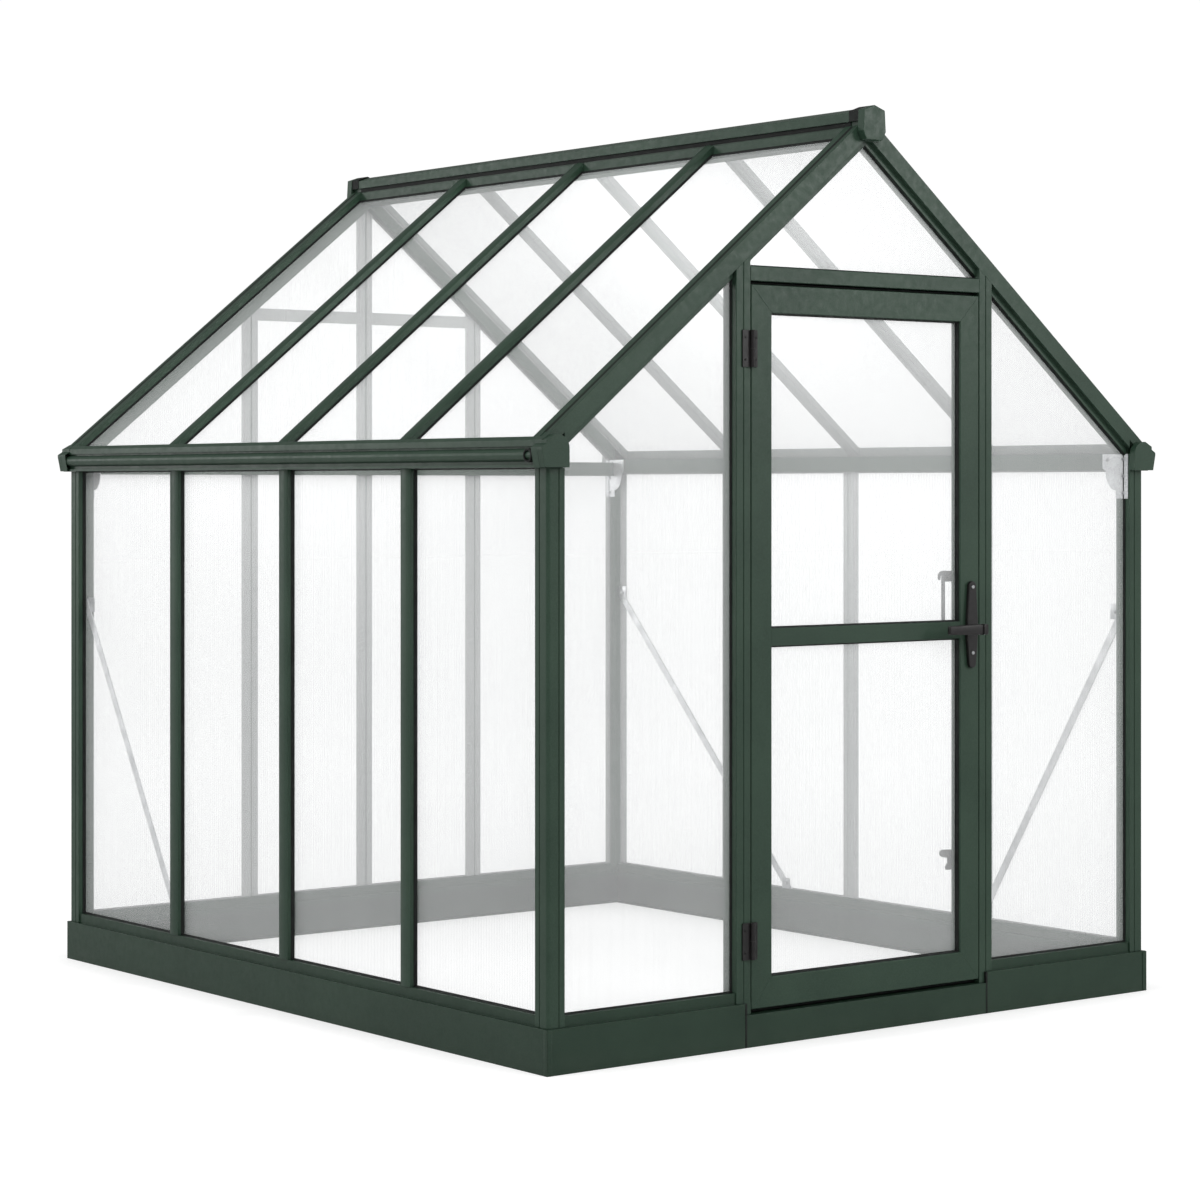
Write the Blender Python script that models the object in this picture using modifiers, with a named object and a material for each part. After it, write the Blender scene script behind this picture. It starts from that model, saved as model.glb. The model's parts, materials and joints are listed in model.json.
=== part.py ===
"""A gable greenhouse with four side bays: steel plinth, aluminium frame, twin-wall panels,
flat braces and a hinged front door with a lever handle. Metres, +Z up, the door faces -Y."""

import math

import bmesh
import bpy
from mathutils import Matrix, Vector

# Driving sizes
BASE_WIDTH = 1.850
BASE_LENGTH = 2.110
RIDGE_TOP = 2.117
EAVE_BOTTOM = 1.285
BAYS = 4
GAP = 0.0003

# Plinth: folded sheet channels, with a sill rail on top of each
PLINTH_HEIGHT = 0.098
PLINTH_DEPTH = 0.045
PLINTH_SHEET = 0.003
PLINTH_FOOT = 0.020
PLINTH_HEM = 0.015
THRESHOLD_HEIGHT = 0.072
SILL_SETBACK = 0.010
SILL_DEPTH = 0.030
SILL_HEIGHT = 0.024
JOIN_DEPTH = 0.001
SMOOTH_BELOW = math.radians(35)

# Posts and mullions
FRAME_SETBACK = 0.006
POST_SIZE = 0.045
POST_ROUNDING = 0.007
POST_GROOVE_SHARE = 0.62
CROWN = 0.0025
CROWN_STEPS = 6
PLAIN_CHAMFER = 0.0012
MULLION_WIDTH = 0.038
MULLION_DEPTH = 0.020
GROOVE_WIDTH = 0.003
GROOVE_DEPTH = 0.0015
SHEET = 0.004
BACK_RAIL_HEIGHT = 0.040
BACK_RAIL_DEPTH = 0.018
BACK_RAIL_RISE = 0.012

# Eave beam, measured outward from the plinth face and up from its own underside
EAVE_LIP_OUT = 0.008
EAVE_LIP_HEIGHT = 0.058
EAVE_LIP_WALL = 0.010
EAVE_LEDGE = 0.008
EAVE_FLANGE_OUT = 0.010
EAVE_FLANGE_HEIGHT = 0.005
NOSE_OUT = 0.018
NOSE_MIDDLE = 0.0265
NOSE_RISE = 0.0135
NOSE_STEPS = 8
GUTTER_HEIGHT = 0.0045
GUTTER_DEPTH = 0.005
EAVE_CAP_IN = 0.038
EAVE_CAP_OUT = 0.022
EAVE_CAP_FOOT_OUT = 0.014
EAVE_CAP_HEIGHT = 0.070
EAVE_CAP_BULGE = 0.037
EAVE_CAP_BULGE_TOP = 0.043
EAVE_CAP_NOTCH = 0.051
EAVE_CAP_SHOULDER = 0.058
EAVE_CAP_APEX_IN = 0.017
EAVE_CAP_APEX_HALF = 0.003
EAVE_CAP_PROUD = 0.010
EAVE_CAP_COVER = 0.001
EAVE_KEY = 0.012
EAVE_KEY_INSET = 0.006
EAVE_KEY_TOP = 0.030

# Roof
RAFTER_WIDTH = 0.036
RAFTER_DEPTH = 0.020
GABLE_RAFTER_FACE = 0.039
GABLE_RAFTER_STEP = 0.012
GABLE_RAFTER_WIDTH = 0.053
GABLE_RAFTER_DEPTH = 0.045
GABLE_GROOVE_FROM = 0.014
GABLE_GROOVE_TO = 0.024
RIDGE_CAP_RISE = 0.022
RIDGE_HALF_WIDTH = 0.030
RIDGE_BEAM_DROP = 0.004
RIDGE_BEAM_HEIGHT = 0.078
RIDGE_SHOULDER = 0.011
RIDGE_COVER_HEIGHT = 0.021
RIDGE_RECESS_HEIGHT = 0.014
RIDGE_RECESS_DEPTH = 0.008
RIDGE_KEY_HALF_WIDTH = 0.018
RIDGE_CAP_HALF_WIDTH = 0.035
RIDGE_CAP_HEIGHT = 0.080
RIDGE_CAP_FOOT = 0.025
RIDGE_CAP_TAPER = 0.003
RIDGE_CAP_WAIST = 0.060
RIDGE_CAP_ROUNDING = 0.0012
RIDGE_CAP_PROUD = 0.015

# Door frame and door leaf
DOOR_WIDTH = 0.706
DOOR_BOTTOM = 0.083
DOOR_DEPTH = 0.030
DOOR_GAP = 0.002
STILE_WIDTH = 0.060
TOP_RAIL_HEIGHT = 0.062
BOTTOM_RAIL_HEIGHT = 0.068
MID_RAIL_HEIGHT = 0.040
MID_RAIL_BELOW_LEVER = 0.002
MID_RAIL_DEPTH = 0.014
LEAF_CHAMFER = 0.0012
MID_RAIL_SETBACK = 0.0015
STOP_OVERLAP = 0.010
STOP_CLEARANCE = 0.001
JAMB_WIDTH = 0.042
JAMB_DEPTH = 0.045
HEADER_CLEARANCE = 0.008
HEADER_HEIGHT = 0.033
HEADER_DROP = 0.0058

# Hinges
HINGE_HEIGHT = 0.082
HINGE_FROM_TOP = 0.143
HINGE_FROM_BOTTOM = 0.152
HINGE_FIXED_WIDTH = 0.027
HINGE_DOOR_WIDTH = 0.016
HINGE_LEAF_SHEET = 0.003
KNUCKLE_RADIUS = 0.006
PIN_RADIUS = 0.0026
PIN_CLEARANCE = 0.0002
PIN_TIP = 0.002
PIN_SIDES = 16

# Handle
PLATE_HEIGHT = 0.204
PLATE_WIDTH = 0.034
PLATE_END_WIDTH = 0.022
PLATE_THICKNESS = 0.009
PLATE_FROM_EDGE = 0.028
PLATE_RISE = 0.010
LEVER_HEIGHT = 0.910
LEVER_LENGTH = 0.112
LEVER_TAIL = 0.012
LEVER_ROOT_DEPTH = 0.024
LEVER_TIP_DEPTH = 0.018
LEVER_THICKNESS = 0.011
PLATE_ROUNDING = 0.0015
LEVER_ROUNDING = 0.002
LEVER_REACH = 0.050
NECK_RADIUS = 0.009

# Braces: flat bars inside the side walls, from a corner post down to the sill
BRACE_WIDTH = 0.020
BRACE_THICKNESS = 0.003
BRACE_DROP = 0.355
BRACE_LONG_SHARE = 0.76

# Places worked out from the sizes above
HALF_WIDTH = BASE_WIDTH / 2
LEVER_FRONT = LEVER_REACH - FRAME_SETBACK
Y_FRONT = (LEVER_FRONT - RIDGE_CAP_PROUD - BASE_LENGTH) / 2
Y_BACK = Y_FRONT + BASE_LENGTH
FACE_X = HALF_WIDTH - FRAME_SETBACK
FACE_FRONT = Y_FRONT + FRAME_SETBACK
FACE_BACK = Y_BACK - FRAME_SETBACK
POST_IN_X = FACE_X - POST_SIZE
POST_IN_FRONT = FACE_FRONT + POST_SIZE
POST_IN_BACK = FACE_BACK - POST_SIZE
SILL_TOP = PLINTH_HEIGHT + SILL_HEIGHT
JAMB_IN = DOOR_WIDTH / 2 + DOOR_GAP
JAMB_OUT = JAMB_IN + JAMB_WIDTH
JAMB_MIDDLE = (JAMB_IN + JAMB_OUT) / 2
EAVE_TOP = EAVE_BOTTOM + EAVE_LIP_HEIGHT
ROOF_LINE = RIDGE_TOP - RIDGE_CAP_RISE
EAVE_LIP_X = HALF_WIDTH + EAVE_LIP_OUT
PITCH = math.atan2(ROOF_LINE - EAVE_TOP, EAVE_LIP_X)
RAFTER_FOOT_X = EAVE_LIP_X - EAVE_LIP_WALL
RIDGE_BEAM_TOP = RIDGE_TOP - RIDGE_BEAM_DROP
RIDGE_BEAM_BOTTOM = RIDGE_BEAM_TOP - RIDGE_BEAM_HEIGHT
SHEET_INSET = MULLION_DEPTH + GAP
BAY = (POST_IN_BACK - POST_IN_FRONT + POST_SIZE) / BAYS
FIRST_BAY_LINE = POST_IN_FRONT - POST_SIZE / 2
MID_RAIL_MIDDLE = LEVER_HEIGHT - MID_RAIL_BELOW_LEVER
HINGE_X = -(DOOR_WIDTH / 2 + DOOR_GAP / 2)
HINGE_Y = FACE_FRONT - GAP - KNUCKLE_RADIUS
LEVER_X = DOOR_WIDTH / 2 - PLATE_FROM_EDGE

X = Vector((1, 0, 0))
Y = Vector((0, 1, 0))
Z = Vector((0, 0, 1))


def roof_height(x, below=0.0):
    """Height of the plane that lies the given distance below the rafters' tops, at x."""
    return ROOF_LINE - abs(x) * math.tan(PITCH) - below / math.cos(PITCH)


# The door's head hangs below the gable rafters
HEADER_TOP = roof_height(JAMB_IN, GABLE_RAFTER_WIDTH) - HEADER_DROP
HEADER_BOTTOM = HEADER_TOP - HEADER_HEIGHT
DOOR_TOP = HEADER_BOTTOM - HEADER_CLEARANCE
STOP_FACE = FACE_FRONT + DOOR_DEPTH + STOP_CLEARANCE


def new_collection(name):
    collection = bpy.data.collections.new(name)
    bpy.context.scene.collection.children.link(collection)
    return collection


def new_material(name, colour, roughness, metallic=0.0, alpha=1.0):
    material = bpy.data.materials.new(name)
    material.use_nodes = True
    shader = material.node_tree.nodes["Principled BSDF"]
    shader.inputs["Base Color"].default_value = (*colour, 1.0)
    shader.inputs["Roughness"].default_value = roughness
    shader.inputs["Metallic"].default_value = metallic
    shader.inputs["Alpha"].default_value = alpha
    return material


def add_object(name, bm, material, helper=False, smooth=False):
    """Makes an object of the mesh, among the cutters and joins if it is a helper."""
    bmesh.ops.recalc_face_normals(bm, faces=bm.faces[:])
    mesh = bpy.data.meshes.new(name)
    bm.to_mesh(mesh)
    bm.free()
    if smooth:
        mesh.shade_smooth()
        mesh.set_sharp_from_angle(angle=SMOOTH_BELOW)
    obj = bpy.data.objects.new(name, mesh)
    if helper:
        obj.hide_render = True
        obj.display_type = "WIRE"
        HELPERS.objects.link(obj)
    else:
        obj.data.materials.append(material.copy())
        PARTS.objects.link(obj)
    return obj


def bar(
    name, material, outline, start, along, side, depth, length, cuts=(), helper=False, smooth=False
):
    """Extrudes an outline of (side, depth) points, then trims it at (point, outward normal)."""
    bm = bmesh.new()
    corners = [bm.verts.new(start + side * s + depth * d) for s, d in outline]
    face = bm.faces.new(corners)
    grown = bmesh.ops.extrude_face_region(bm, geom=[face])
    moved = [v for v in grown["geom"] if isinstance(v, bmesh.types.BMVert)]
    bmesh.ops.translate(bm, verts=moved, vec=along * length)
    for point, normal in cuts:
        everything = bm.verts[:] + bm.edges[:] + bm.faces[:]
        bmesh.ops.bisect_plane(
            bm, geom=everything, plane_co=point, plane_no=normal, clear_outer=True
        )
        rim = [edge for edge in bm.edges if edge.is_boundary]
        bmesh.ops.holes_fill(bm, edges=rim)
    return add_object(name, bm, material, helper, smooth)


def box(name, material, low, high, helper=False):
    """A block between two corners."""
    low = Vector(low)
    high = Vector(high)
    bm = bmesh.new()
    bmesh.ops.create_cube(bm, size=1.0)
    size = high - low
    bmesh.ops.transform(bm, matrix=Matrix.Diagonal((*size, 1.0)), verts=bm.verts[:])
    bmesh.ops.translate(bm, verts=bm.verts[:], vec=(low + high) / 2)
    return add_object(name, bm, material, helper)


def drum(name, material, radius, bottom, top, segments=24, axis=Z, helper=False):
    """A cylinder from one point to another along the axis."""
    bottom = Vector(bottom)
    top = Vector(top)
    bm = bmesh.new()
    bmesh.ops.create_cone(
        bm, cap_ends=True, segments=segments, radius1=radius, radius2=radius,
        depth=(top - bottom).length,
    )
    turn = Z.rotation_difference(axis).to_matrix().to_4x4()
    place = Matrix.Translation((bottom + top) / 2) @ turn
    bmesh.ops.transform(bm, matrix=place, verts=bm.verts[:])
    return add_object(name, bm, material, helper, smooth=True)


def combine(obj, other, operation):
    """Cuts the other object from this one, or joins it on."""
    modifier = obj.modifiers.new(f"{operation.lower()} {other.name}", "BOOLEAN")
    modifier.operation = operation
    modifier.solver = "EXACT"
    modifier.object = other


def round_edges(obj, width, segments=2):
    modifier = obj.modifiers.new("rounded edges", "BEVEL")
    modifier.width = width
    modifier.segments = segments
    modifier.limit_method = "ANGLE"
    modifier.harden_normals = False


def crowned(width, depth):
    """A bar's section, centred across, with an outer face that bows out towards its middle."""
    points = [(-width / 2, depth)]
    for n in range(CROWN_STEPS + 1):
        share = 2 * n / CROWN_STEPS - 1
        points.append((share * width / 2, CROWN * share * share))
    return points + [(width / 2, depth)]


def grooved(width, depth):
    """A flat bar's section, centred across, with one groove down the middle of its outer face."""
    half = GROOVE_WIDTH / 2
    return [
        (-width / 2, depth),
        (-width / 2, PLAIN_CHAMFER),
        (-width / 2 + PLAIN_CHAMFER, 0),
        (-half, 0),
        (-half, GROOVE_DEPTH),
        (half, GROOVE_DEPTH),
        (half, 0),
        (width / 2 - PLAIN_CHAMFER, 0),
        (width / 2, PLAIN_CHAMFER),
        (width / 2, depth),
    ]


def plain(width, depth):
    """A flat bar's section, centred across, with its outer edges taken off."""
    return [
        (-width / 2, depth),
        (-width / 2, PLAIN_CHAMFER),
        (-width / 2 + PLAIN_CHAMFER, 0),
        (width / 2 - PLAIN_CHAMFER, 0),
        (width / 2, PLAIN_CHAMFER),
        (width / 2, depth),
    ]


def post_section(steps=4):
    """A corner post's section: a rounded outer corner at 0, 0 and a groove in both outer faces."""
    groove = POST_SIZE * POST_GROOVE_SHARE
    one_face = [
        (groove, 0),
        (groove, GROOVE_DEPTH),
        (groove + GROOVE_WIDTH, GROOVE_DEPTH),
        (groove + GROOVE_WIDTH, 0),
    ]
    other_face = [(d, s) for s, d in reversed(one_face)]
    corner = []
    for n in range(steps + 1):
        angle = math.pi / 2 * n / steps
        corner.append((
            POST_ROUNDING * (1 - math.sin(angle)),
            POST_ROUNDING * (1 - math.cos(angle)),
        ))
    return (
        one_face
        + [(POST_SIZE, 0), (POST_SIZE, POST_SIZE), (0, POST_SIZE)]
        + other_face
        + corner[::-1]
    )


def channel_section(height):
    """The plinth's folded channel: depth inward from its outer face, height from the ground."""
    inner = PLINTH_DEPTH - PLINTH_SHEET
    return [
        (0, 0),
        (PLINTH_FOOT, 0),
        (PLINTH_FOOT, PLINTH_SHEET),
        (PLINTH_SHEET, PLINTH_SHEET),
        (PLINTH_SHEET, height - PLINTH_SHEET),
        (inner, height - PLINTH_SHEET),
        (inner, height - PLINTH_HEM),
        (PLINTH_DEPTH, height - PLINTH_HEM),
        (PLINTH_DEPTH, height),
        (0, height),
    ]


def sill_section():
    """The rail on the plinth, sunk a little into it so that the two join."""
    return [
        (SILL_SETBACK, PLINTH_HEIGHT - JOIN_DEPTH),
        (SILL_SETBACK, SILL_TOP),
        (SILL_SETBACK + SILL_DEPTH, SILL_TOP),
        (SILL_SETBACK + SILL_DEPTH, PLINTH_HEIGHT - JOIN_DEPTH),
    ]


def plinth_run(name, start, along, inward, length, cuts, sill_from, sill_to, height=PLINTH_HEIGHT):
    """One length of plinth, with its sill rail between two distances from the start."""
    run = bar(name, GREEN, channel_section(height), start, along, inward, Z, length, cuts)
    if sill_to > sill_from:
        sill = bar(
            f"{name}_sill", GREEN, sill_section(), start + along * sill_from, along, inward, Z,
            sill_to - sill_from, helper=True,
        )
        combine(run, sill, "UNION")
    return run


def corner_cut(point, along, inward):
    """The mitre plane, a hair short of the corner's diagonal, for a run that leaves the corner."""
    normal = (inward - along).normalized()
    return point - normal * (GAP / 2), normal


def build_plinth():
    corner_sill = FRAME_SETBACK + POST_SIZE + GAP
    for side, word in ((-1, "left"), (1, "right")):
        inward = -X * side
        front = Vector((side * HALF_WIDTH, Y_FRONT, 0))
        back = Vector((side * HALF_WIDTH, Y_BACK, 0))
        cuts = (corner_cut(front, Y, inward), corner_cut(back, -Y, inward))
        plinth_run(
            f"base_{word}", front, Y, inward, BASE_LENGTH, cuts, corner_sill,
            BASE_LENGTH - corner_sill,
        )
        to_jamb = HALF_WIDTH - JAMB_MIDDLE - GAP / 2
        plinth_run(
            f"base_front_{word}", front, inward, Y, to_jamb, (corner_cut(front, inward, Y),),
            corner_sill, HALF_WIDTH - JAMB_OUT - GAP,
        )
    back = Vector((-HALF_WIDTH, Y_BACK, 0))
    far = Vector((HALF_WIDTH, Y_BACK, 0))
    cuts = (corner_cut(back, X, -Y), corner_cut(far, -X, -Y))
    plinth_run("base_back", back, X, -Y, BASE_WIDTH, cuts, corner_sill, BASE_WIDTH - corner_sill)
    start = Vector((-JAMB_MIDDLE + GAP / 2, Y_FRONT, 0))
    plinth_run("door_threshold", start, X, Y, 2 * JAMB_MIDDLE - GAP, (), 0, 0, THRESHOLD_HEIGHT)


def build_posts():
    bottom = PLINTH_HEIGHT + GAP
    length = EAVE_BOTTOM - GAP - bottom
    for side, word in ((-1, "left"), (1, "right")):
        for face, inward, end in ((FACE_FRONT, Y, "front"), (FACE_BACK, -Y, "back")):
            start = Vector((side * FACE_X, face, bottom))
            bar(
                f"corner_post_{end}_{word}", GREEN, post_section(), start, Z, -X * side, inward,
                length, smooth=True,
            )


def build_side_mullions():
    bottom = SILL_TOP + GAP
    length = EAVE_BOTTOM - GAP - bottom
    for side, word in ((-1, "left"), (1, "right")):
        for n in range(1, BAYS):
            start = Vector((side * FACE_X, FIRST_BAY_LINE + n * BAY, bottom))
            bar(
                f"mullion_{word}_{n}", GREEN, crowned(MULLION_WIDTH, MULLION_DEPTH), start, Z, Y,
                -X * side, length, smooth=True,
            )


def roof_cut(below, side):
    """Trims a wall piece under one roof slope, the given distance below the rafters' tops."""
    point = Vector((0, 0, roof_height(0, below)))
    normal = Vector((side * math.sin(PITCH), 0, math.cos(PITCH)))
    return point, normal


def build_back_wall():
    """The mullions reach up behind the rafters' step, to their face plates."""
    under = GABLE_RAFTER_FACE + GAP
    bottom = SILL_TOP + GAP
    section = crowned(MULLION_WIDTH, MULLION_DEPTH)
    tall = RIDGE_TOP - bottom
    for side, word in ((-1, "left"), (1, "right")):
        start = Vector((side * JAMB_MIDDLE, FACE_BACK, bottom))
        bar(
            f"back_mullion_{word}", GREEN, section, start, Z, X, -Y, tall,
            (roof_cut(under, side),), smooth=True,
        )
    start = Vector((0, FACE_BACK, bottom))
    below_ridge = (Vector((0, 0, RIDGE_BEAM_BOTTOM - GAP)), Z)
    cuts = (roof_cut(under, -1), roof_cut(under, 1), below_ridge)
    centre = bar("back_mullion_centre", GREEN, section, start, Z, X, -Y, tall, cuts)
    reach = JAMB_MIDDLE - MULLION_WIDTH / 2 - GAP
    header = box(
        "back_header", GREEN, (-reach, FACE_BACK - MULLION_DEPTH, HEADER_BOTTOM),
        (reach, FACE_BACK - GROOVE_DEPTH, HEADER_TOP), helper=True,
    )
    combine(centre, header, "UNION")
    rail_y = FACE_BACK - SHEET_INSET - SHEET - GAP
    end = POST_IN_X - GAP
    start = Vector((-end, rail_y, EAVE_BOTTOM + BACK_RAIL_RISE))
    bar("back_rail", GREEN, plain(BACK_RAIL_HEIGHT, BACK_RAIL_DEPTH), start, X, Z, -Y, 2 * end)


def nose_points():
    """The rounded gutter nose, from its lower end up to the groove above it."""
    root = EAVE_LIP_OUT - GUTTER_DEPTH
    for n in range(NOSE_STEPS + 1):
        angle = math.pi * (n / NOSE_STEPS - 0.5)
        out = root + (NOSE_OUT - root) * math.cos(angle)
        yield out, NOSE_MIDDLE + NOSE_RISE * math.sin(angle)


def eave_section():
    """The eave beam's section, with a ledge behind its lip that carries the roof panels."""
    rebate = RAFTER_DEPTH + SHEET + 2 * GAP
    lip_in = EAVE_LIP_OUT - EAVE_LIP_WALL + GAP
    inner = -(FRAME_SETBACK + POST_SIZE)
    root = EAVE_LIP_OUT - GUTTER_DEPTH
    ledge_in = lip_in - EAVE_LEDGE
    ledge_top = roof_height(HALF_WIDTH + ledge_in, rebate)
    groove_top = NOSE_MIDDLE + NOSE_RISE + GUTTER_HEIGHT
    points = [
        (inner, EAVE_BOTTOM),
        (EAVE_FLANGE_OUT, EAVE_BOTTOM),
        (EAVE_FLANGE_OUT, EAVE_BOTTOM + EAVE_FLANGE_HEIGHT),
        (root, EAVE_BOTTOM + EAVE_FLANGE_HEIGHT),
    ]
    points += [(out, EAVE_BOTTOM + up) for out, up in nose_points()]
    points += [
        (root, EAVE_BOTTOM + groove_top),
        (EAVE_LIP_OUT, EAVE_BOTTOM + groove_top),
        (EAVE_LIP_OUT, EAVE_TOP),
        (lip_in, roof_height(HALF_WIDTH + lip_in)),
        (lip_in, roof_height(HALF_WIDTH + lip_in, rebate)),
        (ledge_in, ledge_top),
        (inner, ledge_top),
    ]
    return points


def eave_cap_section():
    """The cap on each end of an eave beam: a house-shaped outline with a bulge over the nose."""
    side = EAVE_LIP_OUT + EAVE_CAP_COVER
    outline = [
        (-EAVE_CAP_IN, 0),
        (EAVE_CAP_FOOT_OUT, 0),
        (EAVE_CAP_OUT, EAVE_CAP_BULGE),
        (EAVE_CAP_OUT, EAVE_CAP_BULGE_TOP),
        (side, EAVE_CAP_NOTCH),
        (side, EAVE_CAP_SHOULDER),
        (-EAVE_CAP_APEX_IN + EAVE_CAP_APEX_HALF, EAVE_CAP_HEIGHT),
        (-EAVE_CAP_APEX_IN - EAVE_CAP_APEX_HALF, EAVE_CAP_HEIGHT),
        (-EAVE_CAP_IN, EAVE_CAP_NOTCH),
    ]
    return [(out, EAVE_BOTTOM + up) for out, up in outline]


def eave_key_section():
    """The spigot inside a cap that joins it to the beam's end."""
    low = EAVE_BOTTOM + EAVE_KEY_INSET
    high = EAVE_BOTTOM + EAVE_KEY_TOP
    key_in = -EAVE_CAP_IN + EAVE_KEY_INSET
    return [(key_in, low), (0, low), (0, high), (key_in, high)]


def build_eaves():
    """Each eave beam runs under the gable rafters, and its end caps sit in front of their faces."""
    for side, word in ((-1, "left"), (1, "right")):
        out = X * side
        line = Vector((side * HALF_WIDTH, 0, 0))
        beam = bar(
            f"eave_beam_{word}", GREEN, eave_section(), line + Y * FACE_FRONT, Y, out, Z,
            FACE_BACK - FACE_FRONT,
        )
        for face, proud, end in ((FACE_FRONT, -Y, "front"), (FACE_BACK, Y, "back")):
            cap_start = line + Y * face + proud * GAP
            cap = bar(
                f"eave_cap_{end}_{word}", GREEN, eave_cap_section(), cap_start, proud, out, Z,
                FRAME_SETBACK + EAVE_CAP_PROUD, helper=True,
            )
            key_start = line + Y * face - proud * EAVE_KEY
            spigot = bar(
                f"eave_key_{end}_{word}", GREEN, eave_key_section(), key_start, proud, out, Z,
                EAVE_KEY + FRAME_SETBACK, helper=True,
            )
            combine(spigot, cap, "UNION")
            combine(beam, spigot, "UNION")


def ridge_beam_section():
    """Points of (x, height): a cover with a recess under it on both sides."""
    cover = RIDGE_BEAM_TOP - RIDGE_SHOULDER - RIDGE_COVER_HEIGHT
    recess = cover - RIDGE_RECESS_HEIGHT
    core = RIDGE_HALF_WIDTH - RIDGE_RECESS_DEPTH
    half = [
        (RIDGE_HALF_WIDTH, RIDGE_BEAM_TOP - RIDGE_SHOULDER),
        (RIDGE_HALF_WIDTH, cover),
        (core, cover),
        (core, recess),
        (RIDGE_HALF_WIDTH, recess),
        (RIDGE_HALF_WIDTH, RIDGE_BEAM_BOTTOM),
    ]
    return [(0, RIDGE_BEAM_TOP)] + half + [(-x, z) for x, z in reversed(half)]


def ridge_cap_section():
    """Points of (x, height): a peaked top, upright sides and a narrower foot."""
    half = [
        (RIDGE_CAP_HALF_WIDTH - RIDGE_CAP_TAPER, RIDGE_TOP - RIDGE_SHOULDER),
        (RIDGE_CAP_HALF_WIDTH, RIDGE_TOP - RIDGE_CAP_WAIST),
        (RIDGE_CAP_FOOT, RIDGE_TOP - RIDGE_CAP_HEIGHT),
    ]
    return [(0, RIDGE_TOP)] + half + [(-x, z) for x, z in reversed(half)]


def build_ridge():
    """The beam carries its back cap; the front cap is a piece of its own."""
    start = Vector((0, FACE_FRONT, 0))
    length = FACE_BACK - FACE_FRONT
    beam = bar("ridge_beam", GREEN, ridge_beam_section(), start, Y, X, Z, length)
    cap_length = FRAME_SETBACK + RIDGE_CAP_PROUD - GAP
    back = bar(
        "ridge_cap_back", GREEN, ridge_cap_section(), Vector((0, FACE_BACK + GAP, 0)), Y, X, Z,
        cap_length, helper=True,
    )
    key = box(
        "ridge_key", GREEN,
        (-RIDGE_KEY_HALF_WIDTH, FACE_BACK - EAVE_KEY, RIDGE_BEAM_BOTTOM + RIDGE_SHOULDER),
        (RIDGE_KEY_HALF_WIDTH, FACE_BACK + FRAME_SETBACK, RIDGE_BEAM_TOP - RIDGE_SHOULDER),
        helper=True,
    )
    combine(key, back, "UNION")
    combine(beam, key, "UNION")
    front = Vector((0, FACE_FRONT - GAP, 0))
    cap = bar("ridge_cap_front", GREEN, ridge_cap_section(), front, -Y, X, Z, cap_length)
    round_edges(cap, RIDGE_CAP_ROUNDING)


def slope_frame(side):
    """Directions up one roof slope and square into it, and the point at its eave."""
    up = Vector((-side * math.cos(PITCH), 0, math.sin(PITCH)))
    into = Vector((-side * math.sin(PITCH), 0, -math.cos(PITCH)))
    eave = Vector((side * EAVE_LIP_X, 0, EAVE_TOP))
    return up, into, eave


def slope_cuts(side, foot, head):
    """Upright planes that trim a roof piece at the eave and at the ridge."""
    return (
        (X * side * foot, X * side),
        (X * side * head, -X * side),
    )


def gable_rafter_section():
    """Across, square to the slope, and depth: a face plate, a step behind its lower edge to a
    wider body, and a groove along the top."""
    return [
        (0, 0),
        (GABLE_RAFTER_FACE, 0),
        (GABLE_RAFTER_FACE, GABLE_RAFTER_STEP),
        (GABLE_RAFTER_WIDTH, GABLE_RAFTER_STEP),
        (GABLE_RAFTER_WIDTH, GABLE_RAFTER_DEPTH),
        (0, GABLE_RAFTER_DEPTH),
        (0, GABLE_GROOVE_TO),
        (GROOVE_DEPTH, GABLE_GROOVE_TO),
        (GROOVE_DEPTH, GABLE_GROOVE_FROM),
        (0, GABLE_GROOVE_FROM),
    ]


def clear_upright(rafter, side, x, face, inward, width, depth):
    """Cuts the room for an upright that passes a gable rafter's step up to its face plate."""
    half = width / 2 + GAP
    outline = [(-half, -GAP), (half, -GAP), (half, depth + GAP), (-half, depth + GAP)]
    start = Vector((x, face, EAVE_BOTTOM))
    room = bar(
        f"{rafter.name}_room_{x:.3f}", GREEN, outline, start, Z, X, inward, RIDGE_TOP - EAVE_BOTTOM,
        (roof_cut(GABLE_RAFTER_FACE + GAP / 2, side),), helper=True,
    )
    combine(rafter, room, "DIFFERENCE")


def eave_seat(side, word):
    """The space of an eave beam and all outside it, which the gable rafters are cut away from."""
    rebate = RAFTER_DEPTH + SHEET + GAP
    inner = POST_IN_X - GAP
    beyond = EAVE_LIP_X + 2 * GABLE_RAFTER_WIDTH
    low = EAVE_BOTTOM - POST_SIZE
    high = ROOF_LINE
    outline = [
        (inner, low),
        (inner, roof_height(inner, rebate)),
        (RAFTER_FOOT_X, roof_height(RAFTER_FOOT_X, rebate)),
        (RAFTER_FOOT_X, high),
        (beyond, high),
        (beyond, low),
    ]
    start = Vector((0, Y_FRONT - POST_SIZE, 0))
    return bar(
        f"eave_seat_{word}", GREEN, outline, start, Y, X * side, Z, BASE_LENGTH + 2 * POST_SIZE,
        helper=True,
    )


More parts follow.
